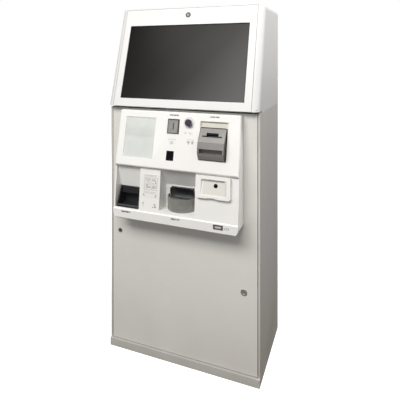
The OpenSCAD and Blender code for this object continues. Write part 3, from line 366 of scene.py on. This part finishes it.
screen_reflection_tone.color_ramp.elements[0].color = (0.002, 0.002, 0.0015, 1)
screen_reflection_tone.color_ramp.elements[1].color = (0.140, 0.136, 0.138, 1)
screen_reflection_tone.color_ramp.elements.new(0.4).color = (0.017, 0.0162, 0.0155, 1)
screen_reflection_tone.color_ramp.elements.new(0.6).color = (0.036, 0.035, 0.034, 1)
screen_tree.links.new(screen_painted_reflection, screen_reflection_tone.inputs["Fac"])
screen_tree.links.new(screen_reflection_tone.outputs["Color"], screen_shader.inputs["Base Color"])
screen_rough = maths(screen_tree, "ADD", maths(screen_tree, "MULTIPLY", screen_grain, 0.08), 0.22)
screen_tree.links.new(screen_rough, screen_shader.inputs["Roughness"])
screen_shader.inputs["Specular IOR Level"].default_value = 0.06
dress(screen_glass, "display_glass")
case_metal = finish_of("case_metal", (0.50, 0.51, 0.52), (0.38, 0.39, 0.40), (0.35, 0.5), metal=0.85,
                       grain_size=420, grain_depth=0.00006, cloud_size=16, lines=0.5)
dress(case_metal, "display_panel", "power_supply", "control_computer", "cash_box", "cash_box_lid")

# ---------------------------------------------------------------- Locks
# Cam locks, each a collar round a plug with its key slot: bright chrome on the door, dark satin on
# the display frame, and a worn grey ring round a black plug on the key switch by the door's hinge.


def soften(width, *names, angle=35, segments=2):
    """Rounds the edges of CAD nodes by a bevel, as folded sheet and mouldings have."""
    for name in names:
        piece = nodes[name]
        weld = piece.modifiers.new("weld", "WELD")
        weld.merge_threshold = 0.00002
        bevel = piece.modifiers.new("bevel", "BEVEL")
        bevel.width, bevel.segments = width, segments
        bevel.limit_method, bevel.angle_limit = "ANGLE", radians(angle)
        bevel.use_clamp_overlap = True
        bevel.harden_normals = True


lock_chrome = finish_of("lock_chrome", (0.60, 0.60, 0.59), (0.46, 0.46, 0.45), (0.20, 0.34), metal=0.7,
                        grain_size=1500, grain_depth=0.00002, cloud_size=60, lines=0.3, line_size=140)
dress(lock_chrome, "door_lock_body", "door_lock_plug")
soften(0.0011, "door_lock_body", "display_lock_body", "key_switch_body")
lock_satin = finish_of("lock_satin", (0.10, 0.10, 0.10), (0.07, 0.07, 0.072), (0.42, 0.55), metal=0.3,
                       grain_size=1300, grain_depth=0.00003, cloud_size=70, mirror=0.25)
dress(lock_satin, "display_lock_body")
plug_satin = finish_of("plug_satin", (0.24, 0.24, 0.24), (0.19, 0.19, 0.19), (0.36, 0.5), metal=0.3,
                       grain_size=1300, grain_depth=0.00003, cloud_size=70, mirror=0.25)
dress(plug_satin, "display_lock_plug")
switch_ring = finish_of("switch_ring", (0.32, 0.305, 0.28), (0.25, 0.235, 0.215), (0.3, 0.45), metal=0.4,
                        grain_size=1100, grain_depth=0.00004, cloud_size=60, scuffs=0.6)
dress(switch_ring, "key_switch_body")
switch_black = finish_of("switch_black", (0.055, 0.055, 0.06), (0.03, 0.03, 0.035), (0.25, 0.4),
                         grain_size=900, grain_depth=0.00004, cloud_size=40, coat=0.2)
dress(switch_black, "key_switch_plug")

# ---------------------------------------------------------------- Front door
# Folded door leaf in the same powder coat as the cabinet, a touch lighter; it is wiped and
# handled more, so it shows faint rub marks and only a little dust low down.
door_paint = finish_of("door_paint", (0.74, 0.725, 0.69), (0.70, 0.685, 0.65), (0.30, 0.40),
                       grain_size=650, grain_depth=0.00008, dirt=(0.60, 0.575, 0.53), dirt_height=0.5,
                       scuffs=0.3)
dress(door_paint, "front_door")

# ---------------------------------------------------------------- Console covers
# Two thick injection-moulded covers in warm white ABS with a fine spark-eroded grain; the upper
# one overhangs the lower one, whose two bays let hands reach the ticket tray and the coin cup.
console_white = finish_of("console_white", (0.85, 0.845, 0.825), (0.81, 0.80, 0.775), (0.36, 0.48),
                          grain_size=1300, grain_depth=0.00006, cloud_size=7, scuffs=0.12)
dress(console_white, "upper_console_cover", "lower_console_cover")
soften(0.0012, "upper_console_cover", "lower_console_cover")

# ---------------------------------------------------------------- Notice pocket
# A notice card, here blank, of matt pale green board behind a clear acrylic window that is set
# in the upper cover and has hazed a little with wiping.
notice_paper = finish_of("notice_paper", (0.74, 0.76, 0.735), (0.70, 0.725, 0.70), (0.55, 0.7),
                         grain_size=2200, grain_depth=0.00005, cloud_size=12)
dress(notice_paper, "notice_card")
acrylic = bpy.data.materials.new("acrylic")
acrylic.use_nodes = True
acrylic_tree = acrylic.node_tree
acrylic_shader = acrylic_tree.nodes["Principled BSDF"]
acrylic_shader.inputs["Base Color"].default_value = (0.74, 0.77, 0.745, 1)
acrylic_shader.inputs["Specular IOR Level"].default_value = 0.12
acrylic_haze = effect(acrylic_tree, cloud, 22)
for socket, change, least in (("Roughness", 0.12, 0.08), ("Alpha", 0.05, 0.14)):
    acrylic_value = maths(acrylic_tree, "ADD", maths(acrylic_tree, "MULTIPLY", acrylic_haze, change), least)
    acrylic_tree.links.new(acrylic_value, acrylic_shader.inputs[socket])
dress(acrylic, "notice_window")

# ---------------------------------------------------------------- Coin slot and acceptor
# Die-cast slot plate with a worn satin face; the near-black border round that face is painted shade,
# standing for the plate's shaded sides and the shadow round it. Behind it the acceptor's case of dark
# glass-filled nylon, as are those of the validator, its cassette, the printer and the fan.


def outside_of(x_middle, x_half, z_low, z_high, blur=0.0008):
    """Mask maker: 1 outside an upright window on the console's face, 0 inside it."""
    def mask(tree):
        split = tree.nodes.new("ShaderNodeSeparateXYZ")
        tree.links.new(place_vector(tree), split.inputs[0])
        aside = maths(tree, "ABSOLUTE", maths(tree, "SUBTRACT", split.outputs["X"], x_middle))
        above = maths(tree, "SUBTRACT", split.outputs["Z"], z_high)
        below = maths(tree, "SUBTRACT", z_low, split.outputs["Z"])
        beyond = maths(tree, "MAXIMUM", maths(tree, "SUBTRACT", aside, x_half),
                       maths(tree, "MAXIMUM", above, below))
        return spread(tree, beyond, 0.0, blur)
    return mask


# Painted shade: outside the plate's face the colour turns near black.
coin_plate_painted_shade = outside_of(x_middle=-0.0152, x_half=0.0215, z_low=1.0075, z_high=1.0595)
cast_grey = finish_of("cast_grey", (0.33, 0.33, 0.322), (0.24, 0.24, 0.232), (0.32, 0.48), metal=0.35,
                      grain_size=700, grain_depth=0.00006, cloud_size=45, scuffs=1.0, lines=0.4,
                      second=(0.055, 0.055, 0.052), second_where=coin_plate_painted_shade)
dress(cast_grey, "coin_slot_plate")
dark_case = finish_of("dark_case", (0.075, 0.08, 0.085), (0.045, 0.05, 0.055), (0.42, 0.6),
                      grain_size=520, grain_depth=0.00009, cloud_size=18)
dress(dark_case, "coin_acceptor", "banknote_validator", "banknote_cassette", "ticket_printer",
      "fan_frame", "fan_rotor")

# ---------------------------------------------------------------- Coin return lever
# Glossy aubergine-black plastic knob on a spindle that turns in a pale satin ring, which is
# fixed in the upper cover.
lever_gloss = finish_of("lever_gloss", (0.045, 0.035, 0.065), (0.025, 0.02, 0.035), (0.12, 0.26),
                        grain_size=900, grain_depth=0.00003, cloud_size=50, scuffs=0.5, coat=0.5)
dress(lever_gloss, "return_lever")
ring_satin = finish_of("ring_satin", (0.70, 0.70, 0.69), (0.62, 0.62, 0.61), (0.3, 0.42),
                       grain_size=1100, grain_depth=0.00004, cloud_size=40)
dress(ring_satin, "lever_ring")

# ---------------------------------------------------------------- Sensor window
# Smoked infrared window, moulded in dark acrylic that looks black and set flush in the upper
# cover.
smoked = finish_of("smoked", (0.006, 0.0055, 0.009), (0.003, 0.003, 0.005), (0.14, 0.26),
                   grain_size=1400, grain_depth=0.00002, cloud_size=35, mirror=0.12)
dress(smoked, "sensor_window")

# ---------------------------------------------------------------- Banknote unit
# A beige moulded tray round the unit's grey nose; notes go in at the mouth in its slope and
# come back from the slot below. Behind it run two rubber-tyred feed rollers. The nose's sides, top and base
# are painted near black: painted shade for its shaded faces and the shadow gaps round it.
surround_beige = finish_of("surround_beige", (0.68, 0.655, 0.585), (0.62, 0.595, 0.53), (0.42, 0.55),
                           grain_size=1000, grain_depth=0.00007, cloud_size=14)
dress(surround_beige, "banknote_surround")
# Painted shade: outside the nose's front face the grey turns near black.
nose_painted_shade = outside_of(x_middle=0.168, x_half=0.0552, z_low=0.9135, z_high=1.0350)
unit_grey = finish_of("unit_grey", (0.255, 0.243, 0.234), (0.215, 0.205, 0.196), (0.36, 0.5),
                      grain_size=1000, grain_depth=0.00006, cloud_size=16, scuffs=0.7, mirror=0.3,
                      second=(0.02, 0.02, 0.02), second_where=nose_painted_shade)
dress(unit_grey, "banknote_bezel")
soften(0.0009, "banknote_bezel")
rubber = finish_of("rubber", (0.03, 0.03, 0.031), (0.018, 0.018, 0.019), (0.6, 0.85),
                   grain_size=420, grain_depth=0.0001, cloud_size=26)
dress(rubber, "upper_feed_roller", "lower_feed_roller", "platen_roller", "gap_seal")

# ---------------------------------------------------------------- Ticket tray and its flap
# Black moulded tray that catches the ticket, with a light flap hung in its mouth; the mains
# switch and the cable gland are of the same black plastic.
tray_black = finish_of("tray_black", (0.028, 0.028, 0.032), (0.016, 0.016, 0.018), (0.26, 0.42),
                       grain_size=900, grain_depth=0.00006, cloud_size=22, scuffs=1.0)
dress(tray_black, "ticket_tray", "ticket_flap", "power_switch", "cable_gland")
soften(0.0006, "ticket_tray", "ticket_flap")

# ---------------------------------------------------------------- Coin cup
# Mid-grey half-round cup under the coin outlet, injection-moulded with a fine grain and scuffed
# by coins.
cup_grey = finish_of("cup_grey", (0.25, 0.25, 0.23), (0.20, 0.20, 0.185), (0.34, 0.5),
                     grain_size=800, grain_depth=0.00008, cloud_size=20, scuffs=0.8)
dress(cup_grey, "coin_cup")

# ---------------------------------------------------------------- Code reader
# Glossy white moulded pod on the lower cover, with a beige wedge-shaped recess and a round
# camera window in it.
outside_recess = outside_of(x_middle=0.184, x_half=0.050, z_low=0.780, z_high=0.838, blur=0.002)


def in_recess(tree):
    """Mask of the pod's recess."""
    return maths(tree, "SUBTRACT", 1.0, outside_recess(tree), clamp=True)


pod_white = finish_of("pod_white", (0.88, 0.875, 0.85), (0.84, 0.83, 0.80), (0.26, 0.38),
                      grain_size=1200, grain_depth=0.00004, cloud_size=10, coat=0.1,
                      second=(0.67, 0.66, 0.615), second_where=in_recess)
dress(pod_white, "reader_pod")
soften(0.0009, "reader_pod")
lens_black = finish_of("lens_black", (0.010, 0.010, 0.014), (0.004, 0.004, 0.006), (0.04, 0.12),
                       grain_size=1500, grain_depth=0.00001, cloud_size=60, coat=0.8)
dress(lens_black, "reader_lens")

# ---------------------------------------------------------------- Guide plate and labels
# Thin printed plates: a matt guide on the rib between the bays and small name strips, all
# without lettering.
guide_print = finish_of("guide_print", (0.80, 0.795, 0.77), (0.77, 0.76, 0.735), (0.45, 0.6),
                        grain_size=1600, grain_depth=0.00004, cloud_size=14)
dress(guide_print, "guide_plate")
contact_left, above_lip = 0.178, 0.9


def dashes(tree):
    """Mask of the gaps between the dark dashes on the strips; the contact mark stays dark."""
    place = place_vector(tree)
    split = tree.nodes.new("ShaderNodeSeparateXYZ")
    tree.links.new(place, split.inputs[0])
    breaks = spread(tree, noise(tree, stretched(tree, place, (1, 0.02, 0.25)), 420.0, 1.0), 0.55, 0.60)
    strip = maths(tree, "LESS_THAN", split.outputs["X"], contact_left)
    upper = maths(tree, "GREATER_THAN", split.outputs["Z"], above_lip)
    return maths(tree, "MULTIPLY", breaks, maths(tree, "MAXIMUM", strip, upper))


label_print = finish_of("label_print", (0.10, 0.095, 0.09), (0.07, 0.065, 0.06), (0.4, 0.55),
                        grain_size=1600, grain_depth=0.00003, cloud_size=60,
                        second=(0.78, 0.775, 0.755), second_where=dashes)
dress(label_print, "label_plates")

# ---------------------------------------------------------------- Units inside
# What the open door shows: the hopper's moulded blue tub with its brass disc, and the roll of
# ticket paper on its spindle.
hopper_blue = finish_of("hopper_blue", (0.05, 0.14, 0.30), (0.035, 0.10, 0.23), (0.38, 0.5),
                        grain_size=700, grain_depth=0.00008, cloud_size=15, scuffs=0.6)
dress(hopper_blue, "coin_hopper")
disc_brass = finish_of("disc_brass", (0.62, 0.46, 0.20), (0.48, 0.34, 0.14), (0.25, 0.42), metal=1.0,
                       grain_size=900, grain_depth=0.00004, cloud_size=40, lines=0.7, scuffs=1.0)
dress(disc_brass, "hopper_disc")
roll_paper = finish_of("roll_paper", (0.86, 0.855, 0.83), (0.82, 0.81, 0.785), (0.6, 0.75),
                       grain_size=1800, grain_depth=0.00005, cloud_size=30, lines=0.6, line_size=200)
dress(roll_paper, "paper_roll")

# ---------------------------------------------------------------- Printed marks
# Wordless pad-printed marks on the console: dashes, rings, arrows and outlines in grey-brown ink
# that say where coins, notes, codes and tickets go.
door_front = -0.195
upper_lean, upper_foot_out, upper_foot_z = atan(0.048 / 0.226), 0.078, 0.862
lower_lean, lower_foot_out, lower_foot_z = atan(0.018 / 0.1785), 0.084, 0.672
ink_stand, ink_thick = 0.00001, 0.00012
guide_thick = 0.0008


def face_frame(x, z, lean, foot_out, foot_z, stand):
    """Matrix of a frame on a leaning face: X right, Y up the face, Z out of it."""
    out = foot_out - (z - foot_z) * tan(lean)
    across, up = Vector((1, 0, 0)), Vector((0, sin(lean), cos(lean)))
    normal = Vector((0, -cos(lean), sin(lean)))
    turn = Matrix((across, up, normal)).transposed().to_4x4()
    return Matrix.Translation(Vector((x, door_front - out, z)) + normal * stand) @ turn


def upper_face(x, z):
    """Frame for ink on the upper cover's face."""
    return face_frame(x, z, upper_lean, upper_foot_out, upper_foot_z, ink_stand)


def lower_face(x, z, stand):
    """Frame on the lower cover's face, standing that far out of it."""
    return face_frame(x, z, lower_lean, lower_foot_out, lower_foot_z, stand)


def box_outline(x, y, half_w, half_h):
    """Four corners of an upright rectangle, going round once."""
    return [(x - half_w, y - half_h), (x + half_w, y - half_h),
            (x + half_w, y + half_h), (x - half_w, y + half_h)]


def circle_outline(x, y, radius, points=24):
    """Points of a circle."""
    turns = [2 * pi * k / points for k in range(points)]
    return [(x + radius * cos(t), y + radius * sin(t)) for t in turns]


def outline_of(shape):
    """Outer and, for rings and frames, inner outline of one mark; lengths in millimetres."""
    kind, x, y, *sizes = shape
    if kind == "dash":
        return box_outline(x, y, sizes[0] / 2, sizes[1] / 2), None
    if kind == "frame":
        half_w, half_h, line = sizes[0] / 2, sizes[1] / 2, sizes[2]
        return box_outline(x, y, half_w, half_h), box_outline(x, y, half_w - line, half_h - line)
    if kind == "ring":
        return circle_outline(x, y, sizes[0]), circle_outline(x, y, sizes[1])
    size, angle = sizes[0], radians(sizes[1])
    arrow = [(-0.18, -0.6), (0.18, -0.6), (0.18, 0.0), (0.5, 0.0), (0.0, 0.6), (-0.5, 0.0), (-0.18, 0.0)]
    return [(x + size * (a * cos(angle) - b * sin(angle)), y + size * (a * sin(angle) + b * cos(angle)))
            for a, b in arrow], None


def join_rings(mesh, rings, closed=True):
    """Faces between each ring of points and the next and, if closed, the last and the first."""
    for first, second in zip(rings, rings[1:] + rings[:1] if closed else rings[1:]):
        for k in range(len(first)):
            n = (k + 1) % len(first)
            mesh.faces.new((first[k], first[n], second[n], second[k]))


def riding_piece(name, mesh, material, body, place=None, smooth=False):
    """Makes a built mesh into a piece with its finish, riding on a body."""
    bmesh.ops.recalc_face_normals(mesh, faces=mesh.faces)
    data = bpy.data.meshes.new(name)
    mesh.to_mesh(data)
    mesh.free()
    if place is not None:
        data.transform(place)
    for face in data.polygons:
        face.use_smooth = smooth
    piece = bpy.data.objects.new(name, data)
    scene.collection.objects.link(piece)
    dress(material, piece)
    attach(piece, body)


def marks(name, shapes, place, ink):
    """Thin raised ink built from a list of shapes, lying on a face of the door's console."""
    mesh = bmesh.new()
    for shape in shapes:
        outer, inner = outline_of(shape)
        loops = [[mesh.verts.new((0.001 * a, 0.001 * b, level)) for a, b in ring]
                 for ring in ((outer, inner) if inner else (outer,)) for level in (0.0, ink_thick)]
        if inner:
            low, high, low_in, high_in = loops
            join_rings(mesh, [low, high, high_in, low_in])
        else:
            low, high = loops
            mesh.faces.new(list(reversed(low)))
            mesh.faces.new(high)
            join_rings(mesh, loops, closed=False)
    riding_piece(name, mesh, ink, "door", place)


ink_brown = finish_of("ink_brown", (0.13, 0.115, 0.10), (0.20, 0.185, 0.165), (0.45, 0.6),
                      grain_size=1500, grain_depth=0.00002, cloud_size=120)
ink_light = finish_of("ink_light", (0.30, 0.29, 0.27), (0.38, 0.37, 0.345), (0.45, 0.6),
                      grain_size=1500, grain_depth=0.00002, cloud_size=120)
marks("coin_marks", [
    ("dash", -15, 9, 7, 1.4), ("dash", -6, 10, 4, 1.4), ("dash", 0, 9, 5, 1.4), ("dash", 8, 10, 7, 1.4),
    ("dash", 17, 9, 5, 1.4), ("dash", -11, 6, 5, 1.2), ("dash", 2, 6, 8, 1.2), ("dash", 13, 6, 5, 1.2),
    ("ring", 0, -5, 6.5, 4.9), ("arrow", 0, -5, 5, 180), ("dash", -11, -3, 4, 1.2), ("dash", 11, -3, 4, 1.2),
    ("dash", -10, -7, 3, 1.2), ("dash", 10, -7, 3, 1.2),
], upper_face(-0.016, 0.972), ink_light)
marks("lever_marks", [
    ("arrow", -14, 1, 7, -90), ("dash", -4, 3, 3, 1.3), ("dash", 6, 4, 6, 1.4), ("dash", 15, 3, 5, 1.4),
    ("dash", 7, 0, 9, 1.4), ("dash", 17, -1, 4, 1.4), ("dash", 10, -4, 6, 1.2),
], upper_face(0.057, 1.009), ink_light)
marks("note_marks", [
    ("dash", -10, 7, 8, 1.4), ("dash", 1, 7.5, 6, 1.4), ("dash", 12, 7, 8, 1.4),
    ("frame", -9, -3, 12, 8, 1.5), ("ring", -9, -3, 2.4, 1.2), ("frame", 9, -3, 9, 9, 1.5),
    ("dash", 9, -3, 3.5, 3.5), ("arrow", -9, -11, 4, 180), ("dash", 9, -11, 6, 1.2),
], upper_face(0.069, 0.977), ink_brown)

guide_shapes = [("dash", -27 + 7.5 * k, 43 + (1.2 if k % 2 else 0), 5.2, 1.3) for k in range(8)]
guide_shapes += [("dash", -24 + 9.5 * k, 39.5, 6.5, 1.1) for k in range(6)]
guide_shapes += [
    ("frame", -14, 22, 28, 24, 1.0), ("frame", 19, 22, 26, 24, 1.0), ("frame", -14, -6, 28, 24, 1.0),
    ("frame", 19, -6, 26, 24, 1.0), ("ring", -19, 25, 5, 3.6), ("ring", -10, 18, 4, 2.8),
    ("arrow", -7, 26, 7, 180), ("frame", 17, 24, 15, 8, 1.2), ("ring", 17, 24, 2.4, 1.2),
    ("arrow", 25, 15, 6, 180), ("frame", -16, -4, 9, 14, 1.2), ("dash", -16, -1, 5, 1.0),
    ("dash", -16, -4, 5, 1.0), ("dash", -16, -7, 5, 1.0), ("arrow", -6, -6, 8, -90),
    ("frame", 16, -5, 12, 12, 1.4), ("dash", 16, -5, 4, 4), ("dash", 26, -1, 5, 1.2),
    ("dash", 26, -5, 5, 1.2), ("dash", 26, -9, 5, 1.2),
]
guide_shapes += [("dash", -25 + 8.5 * k, -26 - (1 if k % 3 == 1 else 0), 6, 1.1) for k in range(7)]
guide_shapes += [("dash", -22 + 9 * k, -30, 6, 1.1) for k in range(5)]
guide_shapes += [("arrow", -29, -39, 7, 60), ("ring", 27, -38, 4.2, 3.0), ("arrow", 27, -45, 5, -60)]
marks("guide_marks", guide_shapes, lower_face(-0.107, 0.780, guide_thick + ink_stand), ink_brown)
marks("foot_marks", [
    ("frame", -31, 8, 7, 5, 1.2), ("dash", -31, 1, 3, 3), ("dash", -30, -6, 5, 1.4),
    ("ring", 24, 5, 4.4, 3.0), ("dash", 24, 5, 3.4, 1.2), ("dash", 26, -4, 9, 4.4),
    ("arrow", 15, -5, 5, -60),
], lower_face(-0.107, 0.699, ink_stand), ink_brown)

# The lip under the bays is upright; a dark contact field, 0.5 mm thick, lies on it.
lip_x, lip_z, lip_out, field_thick = 0.201, 0.655, 0.088, 0.0005
bar_white = finish_of("bar_white", (0.62, 0.61, 0.59), (0.56, 0.55, 0.53), (0.4, 0.55),
                      grain_size=1500, grain_depth=0.00002, cloud_size=120)
marks("contact_bar", [("dash", 0, 0.4, 26, 6.0), ("dash", 0, -5.2, 20, 1.0)],
      face_frame(lip_x, lip_z, 0.0, lip_out + field_thick, lip_z, ink_stand), bar_white)
marks("contact_marks", [
    ("arrow", 27, -2, 6, 90), ("dash", 35, 2.5, 8, 1.3), ("dash", 43, 3, 5, 1.3), ("dash", 36, -1, 6, 1.3),
    ("dash", 44, -1, 6, 1.3), ("dash", 35, -5, 8, 1.3), ("dash", 43, -5, 4, 1.3),
], face_frame(lip_x, lip_z, 0.0, lip_out, lip_z, ink_stand), ink_brown)

# ---------------------------------------------------------------- Screen gasket
# Soft black foam strip that fills the step between the display frame and its glass; its face is
# slightly crowned.
head_lean, head_front, head_foot = radians(16), -0.225, 1.108
gasket_half, gasket_low, gasket_high = 0.2895, 0.037, 0.382
gasket_width, gasket_back, gasket_face, gasket_crown = 0.0022, -0.0040, -0.0012, 0.0004


def head_point(x, up, out):
    """A point in the leaning frame of the head's front: x right, then up the slope and out of it."""
    return Vector((x, head_front + up * sin(head_lean) - out * cos(head_lean),
                   head_foot + up * cos(head_lean) + out * sin(head_lean)))


gasket_mesh = bmesh.new()
gasket_rings = []
for inset, out in ((0, gasket_back), (0, gasket_face - gasket_crown), (gasket_width * 0.5, gasket_face),
                   (gasket_width, gasket_face - gasket_crown), (gasket_width, gasket_back)):
    side, low, high = gasket_half - inset, gasket_low + inset, gasket_high - inset
    corners = ((side, high), (-side, high), (-side, low), (side, low))
    gasket_rings.append([gasket_mesh.verts.new(head_point(x, up, out)) for x, up in corners])
join_rings(gasket_mesh, gasket_rings)
riding_piece("screen_gasket", gasket_mesh, rubber, "display_door")

# ---------------------------------------------------------------- Coin outlet lip
# Black rubber mouth round the opening above the coin cup: a rounded, flared frame that stands out
# of the bay's rear wall, deeper at its top, so that coins drop in without bouncing out.
lip_black = finish_of("lip_black", (0.055, 0.053, 0.055), (0.035, 0.034, 0.036), (0.45, 0.65),
                      grain_size=500, grain_depth=0.0001, cloud_size=40)
mouth_x, mouth_half, mouth_low, mouth_high = 0.018, 0.0545, 0.7225, 0.7715
mouth_wall, mouth_reach, mouth_thick, mouth_flare = 0.012, 0.016, 0.003, 0.0018
mouth_seat, mouth_points = 0.0002, 40
mouth_section = ((mouth_seat, 0.0), (mouth_reach * 0.55, 0.0006), (mouth_reach, mouth_flare),
                 (mouth_reach, mouth_flare - mouth_thick), (mouth_reach * 0.5, -mouth_thick),
                 (mouth_seat, -mouth_thick))
mouth_mesh = bmesh.new()
mouth_rings = []
for out, grow in mouth_section:
    ring = []
    for k in range(mouth_points):
        turn = 2 * pi * (k + 0.5) / mouth_points
        squared = max(abs(cos(turn)), abs(sin(turn))) ** 0.8
        x = mouth_x + (mouth_half + grow) * cos(turn) / squared
        z = (mouth_low + mouth_high) / 2 + ((mouth_high - mouth_low) / 2 + grow) * sin(turn) / squared
        hood = 0.25 + 0.75 * max(0.0, (z - mouth_low) / (mouth_high - mouth_low))
        ring.append(mouth_mesh.verts.new((x, door_front - mouth_wall - out * hood, z)))
    mouth_rings.append(ring)
join_rings(mouth_mesh, mouth_rings)
riding_piece("coin_outlet_lip", mouth_mesh, lip_black, "door", smooth=True)

# ---------------------------------------------------------------- Reader side plug
# Small dark rubber plug that closes the screw hole in the pod's right side.
plug_up, plug_out, plug_points = -0.006, 0.007, 20
plug_mesh = bmesh.new()
plug_rings = []
for x, radius in ((0.0695, 0.0022), (0.0712, 0.0022), (0.0716, 0.0017), (0.0716, 0.0009)):
    around = circle_outline(plug_up, plug_out, radius, plug_points)
    plug_rings.append([plug_mesh.verts.new((x, up, out)) for up, out in around])
join_rings(plug_mesh, plug_rings, closed=False)
plug_mesh.faces.new(plug_rings[0])
plug_mesh.faces.new(plug_rings[-1])
riding_piece("pod_side_plug", plug_mesh, rubber, "door", lower_face(0.179, 0.806, 0.0))
